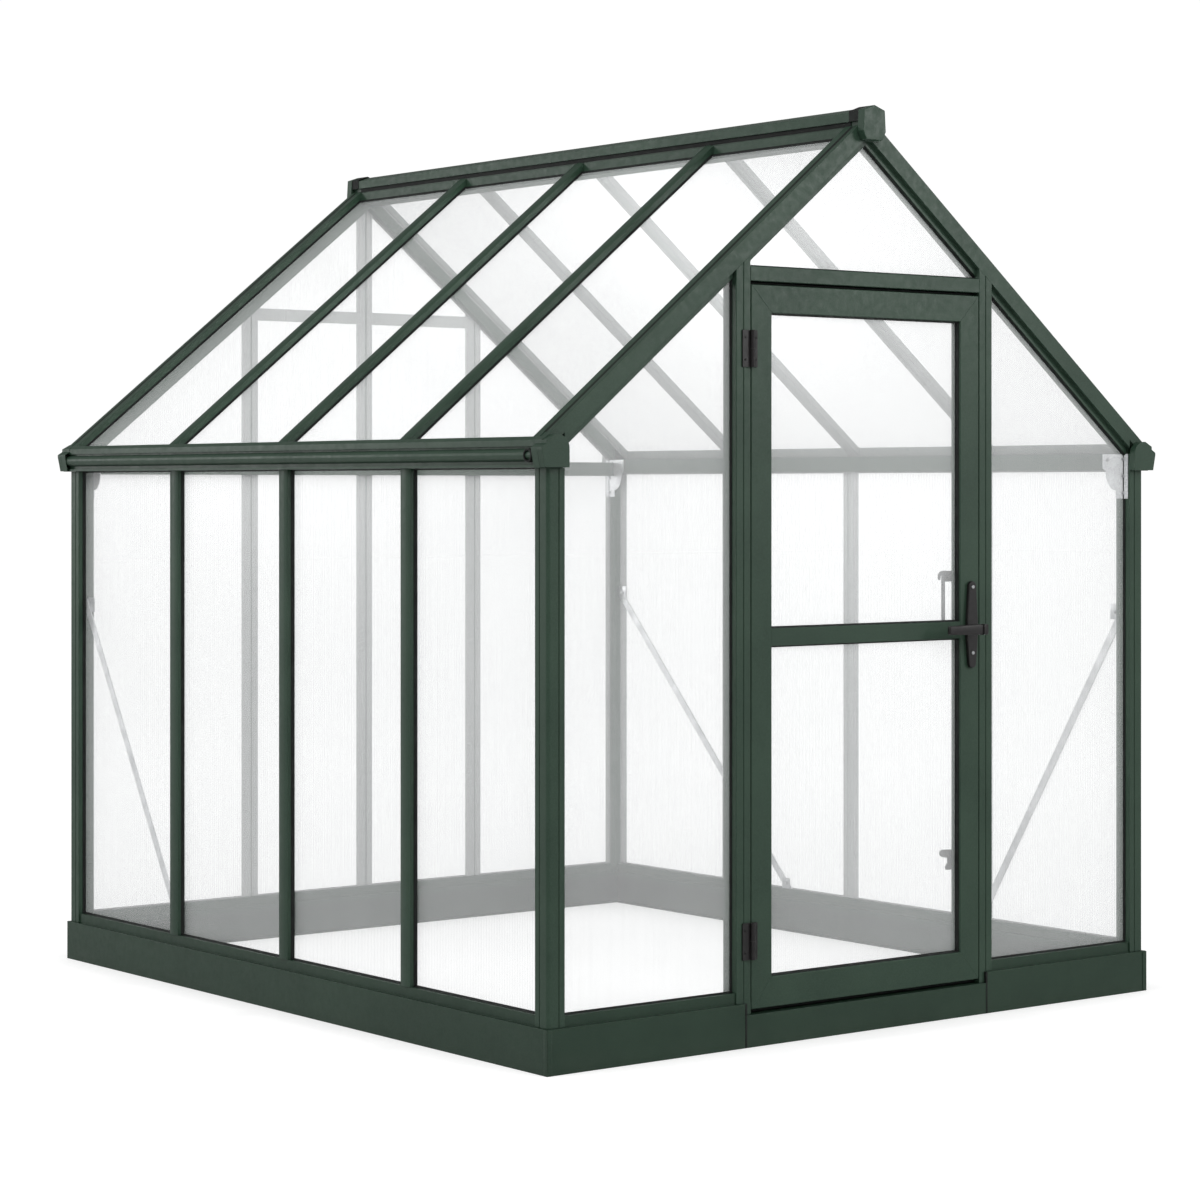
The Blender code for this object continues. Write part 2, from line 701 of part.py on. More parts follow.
def build_roof_frame():
    reach = 2 * EAVE_LIP_X / math.cos(PITCH)
    notch = box(
        "ridge_notch", GREEN,
        (-RIDGE_HALF_WIDTH - GAP, Y_FRONT - POST_SIZE, RIDGE_BEAM_BOTTOM - GAP),
        (RIDGE_HALF_WIDTH + GAP, Y_BACK + POST_SIZE, RIDGE_TOP + POST_SIZE), helper=True,
    )
    for side, word in ((-1, "left"), (1, "right")):
        up, into, eave = slope_frame(side)
        seat = eave_seat(side, word)
        for face, inward, end in ((FACE_FRONT, Y, "front"), (FACE_BACK, -Y, "back")):
            start = eave - up * GABLE_RAFTER_WIDTH + Y * face
            rafter = bar(
                f"gable_rafter_{end}_{word}", GREEN, gable_rafter_section(), start, up, into, inward,
                reach, (slope_cuts(side, HALF_WIDTH, GAP / 2)[1],),
            )
            combine(rafter, seat, "DIFFERENCE")
            combine(rafter, notch, "DIFFERENCE")
            if end == "front":
                clear_upright(
                    rafter, side, side * JAMB_MIDDLE, face, inward, JAMB_WIDTH, JAMB_DEPTH
                )
            else:
                for x in (side * JAMB_MIDDLE, 0):
                    clear_upright(rafter, side, x, face, inward, MULLION_WIDTH, MULLION_DEPTH)
        cuts = slope_cuts(side, RAFTER_FOOT_X, RIDGE_HALF_WIDTH + GAP)
        for n in range(1, BAYS):
            start = eave - up * POST_SIZE + Y * (FIRST_BAY_LINE + n * BAY)
            bar(
                f"roof_rafter_{word}_{n}", GREEN, crowned(RAFTER_WIDTH, RAFTER_DEPTH), start, up, Y,
                into, reach, cuts, smooth=True,
            )


def header_section():
    """The header's section, centred on its height, with the door's stop hanging behind."""
    half = HEADER_HEIGHT / 2
    stop = -half - HEADER_CLEARANCE - STOP_OVERLAP
    return [
        (stop, JAMB_DEPTH),
        (stop, STOP_FACE - FACE_FRONT),
        (-half, STOP_FACE - FACE_FRONT),
        (-half, PLAIN_CHAMFER),
        (-half + PLAIN_CHAMFER, 0),
        (half - PLAIN_CHAMFER, 0),
        (half, PLAIN_CHAMFER),
        (half, JAMB_DEPTH),
    ]


def build_door_frame():
    """Jambs, header and threshold, each with a stop behind the door leaf. A foot under the inner
    half of each jamb reaches down to the threshold."""
    bottom = PLINTH_HEIGHT + GAP
    under = GABLE_RAFTER_FACE + GAP
    back = FACE_FRONT + JAMB_DEPTH
    for side, word in ((-1, "left"), (1, "right")):
        start = Vector((side * JAMB_MIDDLE, FACE_FRONT, bottom))
        jamb = bar(
            f"door_jamb_{word}", GREEN, grooved(JAMB_WIDTH, JAMB_DEPTH), start, Z, X, Y,
            RIDGE_TOP - bottom, (roof_cut(under, side),),
        )
        ends = sorted((side * (JAMB_IN - STOP_OVERLAP), side * (JAMB_IN + JOIN_DEPTH)))
        stop = box(
            f"door_stop_{word}", GREEN, (ends[0], STOP_FACE, bottom),
            (ends[1], back, DOOR_TOP - STOP_OVERLAP - GAP), helper=True,
        )
        combine(jamb, stop, "UNION")
        ends = sorted((side * JAMB_IN, side * (JAMB_MIDDLE - GAP / 2)))
        foot = box(
            f"door_jamb_foot_{word}", GREEN, (ends[0], FACE_FRONT, THRESHOLD_HEIGHT + GAP),
            (ends[1], back, bottom + JOIN_DEPTH), helper=True,
        )
        combine(jamb, foot, "UNION")
    end = JAMB_IN - GAP
    start = Vector((-end, FACE_FRONT, (HEADER_BOTTOM + HEADER_TOP) / 2))
    bar("door_header", GREEN, header_section(), start, X, Z, Y, 2 * end)
    upstand = box(
        "door_stop_bottom", GREEN, (-end, STOP_FACE, THRESHOLD_HEIGHT - JOIN_DEPTH),
        (end, Y_FRONT + PLINTH_DEPTH, DOOR_BOTTOM + STOP_OVERLAP), helper=True,
    )
    combine(bpy.data.objects["door_threshold"], upstand, "UNION")


def sheet_section(low, high):
    """Twin-wall panel section: from low to high across, and its thickness."""
    return [(low, 0), (low, SHEET), (high, SHEET), (high, 0)]


def build_glazing():
    bottom = SILL_TOP + GAP
    under = GABLE_RAFTER_WIDTH + GAP
    wall_length = POST_IN_BACK - POST_IN_FRONT - 2 * GAP
    for side, word in ((-1, "left"), (1, "right")):
        start = Vector((side * (FACE_X - SHEET_INSET), POST_IN_FRONT + GAP, bottom))
        bar(
            f"glazing_side_{word}", PANEL, sheet_section(0, wall_length), start, Z, Y, -X * side,
            EAVE_BOTTOM - GAP - bottom,
        )
        up, into, eave = slope_frame(side)
        low = FACE_FRONT + GABLE_RAFTER_DEPTH + GAP
        high = FACE_BACK - GABLE_RAFTER_DEPTH - GAP
        start = eave - up * POST_SIZE + into * (RAFTER_DEPTH + GAP)
        cuts = slope_cuts(side, RAFTER_FOOT_X, RIDGE_HALF_WIDTH + GAP)
        bar(
            f"glazing_roof_{word}", PANEL, sheet_section(low, high), start, up, Y, into,
            2 * EAVE_LIP_X / math.cos(PITCH), cuts,
        )
        start = Vector((0, FACE_FRONT + SHEET_INSET, bottom))
        bar(
            f"glazing_front_{word}", PANEL, sheet_section(JAMB_OUT + GAP, POST_IN_X - GAP), start,
            Z, X * side, Y, RIDGE_TOP - bottom, (roof_cut(under, side),),
        )
    gables = (
        ("glazing_front_gable", FACE_FRONT + SHEET_INSET, Y, JAMB_IN - GAP, HEADER_TOP + GAP),
        ("glazing_back", FACE_BACK - SHEET_INSET, -Y, POST_IN_X - GAP, bottom),
    )
    for name, y, inward, end, low in gables:
        bar(
            name, PANEL, sheet_section(-end, end), Vector((0, y, low)), Z, X, inward,
            RIDGE_TOP - low, (roof_cut(under, -1), roof_cut(under, 1)),
        )


def leaf_section(width):
    """Door stile or rail: across from its outer edge, with both edges of its face taken off."""
    return [
        (0, LEAF_CHAMFER),
        (LEAF_CHAMFER, 0),
        (width - LEAF_CHAMFER, 0),
        (width, LEAF_CHAMFER),
        (width, DOOR_DEPTH),
        (0, DOOR_DEPTH),
    ]


def mitre(corner, inner, keep_towards):
    """The plane through a leaf's outer corner and the inner corner, a hair to one side of it."""
    line = (inner - corner).normalized()
    normal = line.cross(Y).normalized()
    if normal.dot(keep_towards) > 0:
        normal.negate()
    return corner - normal * (GAP / 2), normal


def build_door():
    half = DOOR_WIDTH / 2
    height = DOOR_TOP - DOOR_BOTTOM
    inner_half = half - STILE_WIDTH
    inner_top = DOOR_TOP - TOP_RAIL_HEIGHT
    inner_bottom = DOOR_BOTTOM + BOTTOM_RAIL_HEIGHT
    ends = (
        ("bottom", DOOR_BOTTOM, inner_bottom, Z, BOTTOM_RAIL_HEIGHT),
        ("top", DOOR_TOP, inner_top, -Z, TOP_RAIL_HEIGHT),
    )
    for side, word in ((-1, "hinge"), (1, "lock")):
        cuts = [
            mitre(Vector((side * half, 0, z)), Vector((side * inner_half, 0, inner)), into)
            for _, z, inner, into, _ in ends
        ]
        start = Vector((side * half, FACE_FRONT, DOOR_BOTTOM))
        bar(
            f"door_stile_{word}", GREEN, leaf_section(STILE_WIDTH), start, Z, -X * side, Y, height,
            cuts,
        )
    for word, z, inner, into, rail in ends:
        cuts = [
            mitre(Vector((side * half, 0, z)), Vector((side * inner_half, 0, inner)), -X * side)
            for side in (-1, 1)
        ]
        start = Vector((-half, FACE_FRONT, z))
        bar(
            f"door_rail_{word}", GREEN, leaf_section(rail), start, X, into, Y, DOOR_WIDTH, cuts,
        )
    end = inner_half - GAP
    rail_y = FACE_FRONT + MID_RAIL_SETBACK
    start = Vector((-end, rail_y, MID_RAIL_MIDDLE))
    bar("door_rail_middle", GREEN, plain(MID_RAIL_HEIGHT, MID_RAIL_DEPTH), start, X, Z, Y, 2 * end)
    sheet_y = rail_y + MID_RAIL_DEPTH + GAP
    start = Vector((0, sheet_y, inner_bottom + GAP))
    bar(
        "glazing_door", PANEL, sheet_section(-end, end), start, Z, X, Y,
        inner_top - inner_bottom - 2 * GAP,
    )


def build_hinge(word, middle):
    """A lift-off hinge: the fixed leaf has the lower knuckle and pin, the door's has the upper."""
    low = middle - HINGE_HEIGHT / 2
    high = middle + HINGE_HEIGHT / 2
    axis = Vector((HINGE_X, HINGE_Y, 0))
    plate_back = FACE_FRONT - GAP
    plate_front = plate_back - HINGE_LEAF_SHEET
    bore = PIN_RADIUS + PIN_CLEARANCE
    inside = (PIN_RADIUS + KNUCKLE_RADIUS) / 2
    leaves = (
        (f"hinge_{word}_fixed_leaf", -1, HINGE_FIXED_WIDTH, low, middle - GAP / 2),
        (f"hinge_{word}_door_leaf", 1, HINGE_DOOR_WIDTH, middle + GAP / 2, high),
    )
    for name, side, width, bottom, top in leaves:
        knuckle = drum(name, BLACK, KNUCKLE_RADIUS, axis + Z * bottom, axis + Z * top)
        ends = sorted((HINGE_X + side * inside, HINGE_X + side * width))
        plate = box(
            f"{name}_plate", BLACK, (ends[0], plate_front, bottom), (ends[1], plate_back, top),
            helper=True,
        )
        near = sorted((HINGE_X + side * (KNUCKLE_RADIUS + GAP), HINGE_X + side * width))
        wing_ends = (top - JOIN_DEPTH, high) if side < 0 else (low, bottom + JOIN_DEPTH)
        wing = box(
            f"{name}_wing", BLACK, (near[0], plate_front, wing_ends[0]),
            (near[1], plate_back, wing_ends[1]), helper=True,
        )
        combine(plate, wing, "UNION")
        combine(knuckle, plate, "UNION")
        if side < 0:
            pin = drum(
                f"{name}_pin", BLACK, PIN_RADIUS, axis + Z * (top - HINGE_HEIGHT / 4),
                axis + Z * (high - PIN_TIP), PIN_SIDES, helper=True,
            )
            combine(knuckle, pin, "UNION")
        else:
            hole = drum(
                f"{name}_bore", BLACK, bore, axis + Z * (bottom - PIN_TIP),
                axis + Z * (high + PIN_TIP), PIN_SIDES, helper=True,
            )
            combine(knuckle, hole, "DIFFERENCE")


def plate_outline(steps=8):
    """The handle plate: widest at the lever, tapering to round ends, and longer above it."""
    end = PLATE_END_WIDTH / 2
    top = PLATE_HEIGHT / 2 - end + PLATE_RISE
    bottom = PLATE_HEIGHT / 2 - end - PLATE_RISE
    points = [(PLATE_WIDTH / 2, -PLATE_WIDTH / 2), (PLATE_WIDTH / 2, PLATE_WIDTH / 2)]
    points += [
        (end * math.cos(math.pi * n / steps), top + end * math.sin(math.pi * n / steps))
        for n in range(steps + 1)
    ]
    points += [(-PLATE_WIDTH / 2, PLATE_WIDTH / 2), (-PLATE_WIDTH / 2, -PLATE_WIDTH / 2)]
    points += [
        (-end * math.cos(math.pi * n / steps), -bottom - end * math.sin(math.pi * n / steps))
        for n in range(steps + 1)
    ]
    return points


def lever_outline():
    """The lever seen from the front: a round tail at the spindle and a slimmer round tip."""
    steps = 6
    root = LEVER_ROOT_DEPTH / 2
    tip = LEVER_TIP_DEPTH / 2
    tip_x = -(LEVER_LENGTH - tip)
    tail = [
        (LEVER_TAIL * math.cos(a), root * math.sin(a))
        for a in (math.radians(-90 + 180 * n / steps) for n in range(steps + 1))
    ]
    end = [
        (tip_x + tip * math.cos(a), tip * math.sin(a))
        for a in (math.radians(90 + 180 * n / steps) for n in range(steps + 1))
    ]
    return tail + end


def build_handle():
    spindle = Vector((LEVER_X, 0, LEVER_HEIGHT))
    plate_back = FACE_FRONT - GAP
    plate = bar(
        "handle_plate", BLACK, plate_outline(), spindle + Y * plate_back, -Y, X, Z,
        PLATE_THICKNESS, smooth=True,
    )
    round_edges(plate, PLATE_ROUNDING)
    front = FACE_FRONT - LEVER_REACH
    lever = bar(
        "handle_lever", BLACK, lever_outline(), spindle + Y * front, Y, X, Z, LEVER_THICKNESS,
        smooth=True,
    )
    round_edges(lever, LEVER_ROUNDING)
    neck = drum(
        "handle_neck", BLACK, NECK_RADIUS, spindle + Y * (front + LEVER_THICKNESS / 2),
        spindle + Y * (plate_back - PLATE_THICKNESS - GAP), axis=Y, helper=True,
    )
    combine(lever, neck, "UNION")
    return plate, lever


def brace(name, side, post_y, foot_y):
    """A flat bar from a corner post, high up, down to the sill, on the inside of the panel."""
    x = side * (FACE_X - SHEET_INSET - SHEET - GAP)
    top = Vector((x, post_y, EAVE_BOTTOM - BRACE_DROP))
    foot = Vector((x, foot_y, SILL_TOP + GAP))
    along = (foot - top).normalized()
    across = along.cross(X)
    half = BRACE_WIDTH / 2
    section = [(-half, 0), (half, 0), (half, BRACE_THICKNESS), (-half, BRACE_THICKNESS)]
    towards_post = Y if post_y > foot_y else -Y
    cuts = ((top, towards_post), (foot, -Z))
    bar(
        name, BRIGHT, section, top - along * BRACE_WIDTH * 2, along, across, -X * side,
        (foot - top).length + 4 * BRACE_WIDTH, cuts,
    )


def build_braces():
    back = POST_IN_BACK - GAP
    front = POST_IN_FRONT + GAP
    last_line = FIRST_BAY_LINE + (BAYS - 1) * BAY
    first_line = FIRST_BAY_LINE + BAY
    middle_line = FIRST_BAY_LINE + BAYS / 2 * BAY
    brace("brace_left_back", -1, back, last_line)
    brace("brace_right_front", 1, front, first_line)
    brace("brace_right_back", 1, back, back + (middle_line - back) * BRACE_LONG_SHARE)


def hang_on(name, point, children):
    """Parents the named pieces to an empty on their joint's axis."""
    pivot = bpy.data.objects.new(name, None)
    pivot.location = point
    PARTS.objects.link(pivot)
    for child in children:
        child.parent = pivot
        child.matrix_parent_inverse = Matrix.Translation(-Vector(point))
    return pivot


for old in list(bpy.data.objects):
    bpy.data.objects.remove(old)

PARTS = new_collection("greenhouse")
HELPERS = new_collection("greenhouse_cutters_and_joins")
GREEN = new_material("green_powder_coat", (0.022, 0.048, 0.032), 0.45)
BLACK = new_material("black_hardware", (0.012, 0.012, 0.013), 0.35)
BRIGHT = new_material("bright_aluminium", (0.62, 0.64, 0.66), 0.35, 0.9)
PANEL = new_material("twin_wall_panel", (0.90, 0.93, 0.95), 0.15, alpha=0.3)

build_plinth()
build_posts()
build_side_mullions()
build_eaves()
build_ridge()
build_roof_frame()
build_back_wall()
build_door_frame()
build_glazing()
build_door()
build_hinge("upper", DOOR_TOP - HINGE_FROM_TOP)
build_hinge("lower", DOOR_BOTTOM + HINGE_FROM_BOTTOM)
handle_plate, handle_lever = build_handle()
build_braces()

door_names = (
    "door_stile_hinge", "door_stile_lock", "door_rail_top", "door_rail_middle", "door_rail_bottom",
    "glazing_door", "hinge_upper_door_leaf", "hinge_lower_door_leaf", "handle_plate",
)
door_pivot = hang_on(
    "door_axis", (HINGE_X, HINGE_Y, DOOR_BOTTOM), [bpy.data.objects[n] for n in door_names]
)
lever_pivot = hang_on("lever_axis", (LEVER_X, FACE_FRONT, LEVER_HEIGHT), [handle_lever])
lever_pivot.parent = door_pivot
lever_pivot.matrix_parent_inverse = Matrix.Translation(-Vector((HINGE_X, HINGE_Y, DOOR_BOTTOM)))
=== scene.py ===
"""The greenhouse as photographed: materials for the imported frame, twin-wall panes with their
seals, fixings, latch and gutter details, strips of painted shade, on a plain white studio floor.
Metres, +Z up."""

import json
import math

import bmesh
import bpy
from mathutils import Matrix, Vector


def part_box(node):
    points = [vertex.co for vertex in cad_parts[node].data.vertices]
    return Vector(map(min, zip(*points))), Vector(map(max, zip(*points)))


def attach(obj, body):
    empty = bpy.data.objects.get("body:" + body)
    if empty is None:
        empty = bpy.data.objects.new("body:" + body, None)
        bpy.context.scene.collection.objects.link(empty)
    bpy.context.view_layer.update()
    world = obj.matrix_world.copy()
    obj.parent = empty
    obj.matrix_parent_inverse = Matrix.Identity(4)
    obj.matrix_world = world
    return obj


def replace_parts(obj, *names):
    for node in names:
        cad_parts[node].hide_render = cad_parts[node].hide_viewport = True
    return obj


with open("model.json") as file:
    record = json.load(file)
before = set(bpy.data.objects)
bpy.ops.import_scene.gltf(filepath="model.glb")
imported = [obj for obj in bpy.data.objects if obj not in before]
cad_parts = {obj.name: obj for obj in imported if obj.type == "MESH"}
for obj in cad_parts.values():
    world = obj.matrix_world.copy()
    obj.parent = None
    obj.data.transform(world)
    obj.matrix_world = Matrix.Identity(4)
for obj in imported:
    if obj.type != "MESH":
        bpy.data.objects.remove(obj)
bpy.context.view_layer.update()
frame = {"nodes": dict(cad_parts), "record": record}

X = Vector((1, 0, 0))
Y = Vector((0, 1, 0))

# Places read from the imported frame: the low and the high corner of a node's box
post_low, post_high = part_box("corner_post_front_left")
back_low, back_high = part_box("corner_post_back_right")
stile_low, stile_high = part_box("door_stile_lock")
mid_low, mid_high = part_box("door_rail_middle")
door_pane_low, door_pane_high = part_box("glazing_door")
plate_low, plate_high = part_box("handle_plate")
lever_low, lever_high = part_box("handle_lever")
front_base_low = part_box("base_front_left")[0]
bottom_rail_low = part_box("door_rail_bottom")[0]
top_rail_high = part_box("door_rail_top")[1]
threshold_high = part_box("door_threshold")[1]
ridge_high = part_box("ridge_beam")[1]

GAP = 0.0003
JAMB_WIDTH = 0.042
HEADER_HEIGHT = 0.033
FACE_X = -post_low.x
POST_IN_X = -post_high.x
FACE_FRONT = post_low.y
POST_IN_FRONT = post_high.y
FACE_BACK = back_high.y
POST_IN_BACK = back_low.y
EAVE_BOTTOM = post_high.z + GAP
SILL_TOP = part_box("base_left")[1].z
JAMB_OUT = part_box("door_jamb_right")[1].x
JAMB_IN = JAMB_OUT - JAMB_WIDTH
JAMB_MIDDLE = JAMB_OUT - JAMB_WIDTH / 2
HEADER_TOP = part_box("door_header")[1].z
HEADER_BOTTOM = HEADER_TOP - HEADER_HEIGHT
MULLIONS_Y = [sum(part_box(f"mullion_left_{n}")[i].y for i in (0, 1)) / 2 for n in (1, 2, 3)]

# The two sides as a sign along x, and the two gables as a face and the sign that leads inward
SIDES = ((-1, "left"), (1, "right"))
ENDS = ((FACE_FRONT, 1, "front"), (FACE_BACK, -1, "back"))

# Sizes that the frame's boxes don't give
SHEET = 0.004
SHEET_INSET = 0.0203
SHEET_MARGIN = 0.0015
MULLION_HALF = 0.019
RAFTER_HALF = 0.018
ROOF_LINE = 2.095
EAVE_TOP = 1.343
EAVE_LIP_X = 0.933
RAFTER_FOOT_X = 0.923
RAFTER_DEPTH = 0.020
GABLE_RAFTER_WIDTH = 0.053
GABLE_RAFTER_DEPTH = 0.045
RIDGE_HALF = 0.030
PITCH = math.atan2(ROOF_LINE - EAVE_TOP, EAVE_LIP_X)
WALL_PITCH = 0.006
THRESHOLD_HEIGHT = 0.072
PLINTH_TOP = 0.098
CAP_X = POST_IN_X + 0.051
GUTTER_NOSE_X = POST_IN_X + 0.069
# How far up the frame members' sides each seal's black leg reaches, as painted shade on those
# sides.
WALL_SEAL_AND_SHADE_HEIGHT = 0.0085
GABLE_SEAL_AND_SHADE_HEIGHT = 0.0060
ROOF_SEAL_AND_SHADE_HEIGHT = 0.0050
DOOR_SEAL_AND_SHADE_HEIGHT = 0.0110


def roof_height(x, below=0.0):
    """Height of the plane that lies the given distance below the rafters' tops, at x."""
    return ROOF_LINE - abs(x) * math.tan(PITCH) - below / math.cos(PITCH)


# Materials


def new_material(name):
    material = bpy.data.materials.new(name)
    material.use_nodes = True
    return material, material.node_tree, material.node_tree.nodes["Principled BSDF"]


def add(tree, kind, settings=None, **inputs):
    """Adds a shader node with its settings, and inputs given as numbers or as other sockets."""
    made = tree.nodes.new("ShaderNode" + kind)
    for key, value in (settings or {}).items():
        setattr(made, key, value)
    for key, value in inputs.items():
        socket = made.inputs[key.replace("_", " ")]
        if isinstance(value, bpy.types.NodeSocket):
            tree.links.new(value, socket)
        else:
            socket.default_value = value
    return made


def place_of(tree, stretch=(1, 1, 1)):
    """Coordinates in metres on the object, stretched to draw a pattern out along one direction."""
    coordinates = add(tree, "TexCoord").outputs["Object"]
    return add(tree, "Mapping", Vector=coordinates, Scale=stretch).outputs[0]


def noise(tree, place, scale, detail=3.0, roughness=0.55):
    made = add(tree, "TexNoise", Vector=place, Scale=scale, Detail=detail, Roughness=roughness)
    return made.outputs[0]


def spread(tree, value, from_low, from_high, to_low, to_high):
    """Maps one range of a value to another, held at its ends."""
    made = add(
        tree, "MapRange", Value=value, From_Min=from_low, From_Max=from_high, To_Min=to_low,
        To_Max=to_high,
    )
    return made.outputs[0]


def sums(tree, operation, first, second):
    made = tree.nodes.new("ShaderNodeMath")
    made.operation = operation
    for socket, value in zip(made.inputs, (first, second)):
        if isinstance(value, bpy.types.NodeSocket):
            tree.links.new(value, socket)
        else:
            socket.default_value = value
    return made.outputs[0]


def blend_colours(tree, share, first, second):
    """Mixes two colours, each a colour or a socket, by a share that is a socket."""
    made = tree.nodes.new("ShaderNodeMix")
    made.data_type = "RGBA"
    tree.links.new(share, made.inputs[0])
    for socket, value in ((made.inputs[6], first), (made.inputs[7], second)):
        if isinstance(value, bpy.types.NodeSocket):
            tree.links.new(value, socket)
        else:
            socket.default_value = (*value, 1.0)
    return made.outputs[2]


def edge_mask(tree, radius):
    """The rounded normal of sharp edges, and how near to such an edge a point is, 0 to 1."""
    rounded = add(tree, "Bevel", {"samples": 4}, Radius=radius).outputs[0]
    flat = add(tree, "NewGeometry").outputs["Normal"]
    made = tree.nodes.new("ShaderNodeVectorMath")
    made.operation = "DOT_PRODUCT"
    tree.links.new(rounded, made.inputs[0])
    tree.links.new(flat, made.inputs[1])
    return rounded, spread(tree, made.outputs["Value"], 0.80, 0.995, 1.0, 0.0)


def finish_shader(tree, shader, colour, roughness, height, strength, distance, normal=None):
    tree.links.new(colour, shader.inputs["Base Color"])
    tree.links.new(roughness, shader.inputs["Roughness"])
    bump = add(tree, "Bump", Height=height, Strength=strength, Distance=distance)
    if normal is not None:
        tree.links.new(normal, bump.inputs["Normal"])
    tree.links.new(bump.outputs[0], shader.inputs["Normal"])


def powder_coat(name, deep, light, pale_tone_and_highlight, dust=0.0):
    """Stoved powder paint: orange peel, faint cloudiness, edge wear and a painted edge highlight.
    """
    material, tree, shader = new_material(name)
    place = place_of(tree)
    clouds = spread(tree, noise(tree, place, 5.0, 4.0), 0.35, 0.65, 0.0, 1.0)
    speckle = spread(tree, noise(tree, place, 420.0, 2.0), 0.4, 0.62, 0.0, 1.0)
    body = blend_colours(tree, clouds, deep, light)
    grain = blend_colours(tree, sums(tree, "MULTIPLY", speckle, 0.18), body, pale_tone_and_highlight)
    # The edges are lightened towards the pale colour, partly as thin-coat wear and partly as a
    # painted highlight.
    rounded, edge = edge_mask(tree, 0.0014)
    edge_patches = spread(tree, noise(tree, place, 26.0), 0.3, 0.7, 0.25, 0.8)
    worn_and_highlit_edge = sums(tree, "MULTIPLY", edge, edge_patches)
    colour = blend_colours(tree, worn_and_highlit_edge, grain, pale_tone_and_highlight)
    if dust:
        height = add(tree, "SeparateXYZ", Vector=add(tree, "TexCoord").outputs["Object"]).outputs[2]
        low = spread(tree, height, 0.0, 0.05, dust, 0.0)
        patches = spread(tree, noise(tree, place, 14.0, 6.0, 0.65), 0.4, 0.7, 0.2, 1.0)
        dusty = sums(tree, "MULTIPLY", low, patches)
        colour = blend_colours(tree, dusty, colour, (0.16, 0.16, 0.14))
    roughness = spread(tree, noise(tree, place, 60.0, 4.0), 0.3, 0.7, 0.36, 0.50)
    peel = noise(tree, place, 1100.0, 2.0, 0.5)
    finish_shader(tree, shader, colour, roughness, peel, 0.12, 0.0003, rounded)
    shader.inputs["Specular IOR Level"].default_value = 0.26
    return material


def moulded_black():
    """Black die-cast hardware: fine texture, and edges lightened, partly as rubbed wear and partly
    as a painted highlight.
    """
    material, tree, shader = new_material("black_hardware_satin")
    place = place_of(tree)
    tone = spread(tree, noise(tree, place, 90.0, 4.0), 0.3, 0.7, 0.0, 1.0)
    body = blend_colours(tree, tone, (0.0050, 0.0046, 0.0046), (0.0110, 0.0100, 0.0104))
    rounded, edge = edge_mask(tree, 0.0009)
    # Edges lightened towards grey: partly rubbed wear, partly a painted highlight.
    colour = blend_colours(tree, sums(tree, "MULTIPLY", edge, 0.4), body, (0.050, 0.046, 0.043))
    roughness = spread(tree, noise(tree, place, 30.0, 3.0), 0.3, 0.7, 0.36, 0.52)
    finish_shader(
        tree, shader, colour, roughness, noise(tree, place, 1900.0, 2.0), 0.18, 0.0002, rounded
    )
    shader.inputs["Specular IOR Level"].default_value = 0.35
    return material


def bare_metal(name, dark, bright, stretch, low, high):
    """Mill-finish metal, with drawing lines along the stretched direction."""
    material, tree, shader = new_material(name)
    lines = noise(tree, place_of(tree, stretch), 260.0, 5.0, 0.6)
    stain = noise(tree, place_of(tree), 22.0, 4.0)
    share = sums(tree, "MULTIPLY", lines, spread(tree, stain, 0.3, 0.7, 0.6, 1.2))
    colour = blend_colours(tree, spread(tree, share, 0.25, 0.7, 0.0, 1.0), dark, bright)
    rounded, _ = edge_mask(tree, 0.0006)
    roughness = spread(tree, lines, 0.25, 0.75, low, high)
    finish_shader(tree, shader, colour, roughness, lines, 0.10, 0.0002, rounded)
    shader.inputs["Metallic"].default_value = 0.75
    return material


def black_rubber_and_painted_shade():
    """Matt black rubber with a dry bloom, for the seals and for the strips of painted shade."""
    material, tree, shader = new_material("black_rubber_and_painted_shade")
    place = place_of(tree)
    bloom = spread(tree, noise(tree, place, 35.0, 5.0), 0.35, 0.75, 0.0, 1.0)
    colour = blend_colours(tree, bloom, (0.004, 0.005, 0.0045), (0.011, 0.014, 0.012))
    roughness = spread(tree, noise(tree, place, 300.0), 0.3, 0.7, 0.55, 0.75)
    finish_shader(tree, shader, colour, roughness, noise(tree, place, 700.0), 0.1, 0.0003)
    shader.inputs["Specular IOR Level"].default_value = 0.25
    return material


def twin_wall(name, axis, haze, tint):
    """Twin-wall sheet: hazy skins that let most of what is behind show, and denser inner walls."""
    material, tree, shader = new_material(name)
    coordinates = add(tree, "TexCoord").outputs["Object"]
    across = add(tree, "SeparateXYZ", Vector=coordinates).outputs[axis]
    cells = sums(tree, "DIVIDE", across, WALL_PITCH)
    ramp = sums(tree, "FRACT", cells, 0.0)
    from_wall = sums(tree, "MINIMUM", ramp, sums(tree, "SUBTRACT", 1.0, ramp))
    wall = spread(tree, from_wall, 0.05, 0.16, 1.0, 0.0)
    streaks = noise(tree, place_of(tree, (30.0, 30.0, 1.2)), 4.0, 4.0, 0.6)
    clouds = noise(tree, place_of(tree), 2.2, 3.0)
    film = spread(tree, streaks, 0.3, 0.7, haze * 0.95, haze * 1.05)
    film = sums(tree, "MULTIPLY", film, spread(tree, clouds, 0.3, 0.7, 0.92, 1.08))
    solid = sums(tree, "ADD", film, sums(tree, "MULTIPLY", wall, 0.10))
    shadow = add(tree, "LightPath").outputs["Is Shadow Ray"]
    passing = sums(tree, "SUBTRACT", 1.0, sums(tree, "MULTIPLY", shadow, 0.85))
    tree.links.new(sums(tree, "MULTIPLY", solid, passing), shader.inputs["Alpha"])
    colour = blend_colours(tree, wall, tint, [c * 0.98 for c in tint])
    roughness = spread(tree, streaks, 0.3, 0.7, 0.16, 0.30)
    finish_shader(tree, shader, colour, roughness, wall, 0.04, 0.0001)
    shader.inputs["IOR"].default_value = 1.4
    return material
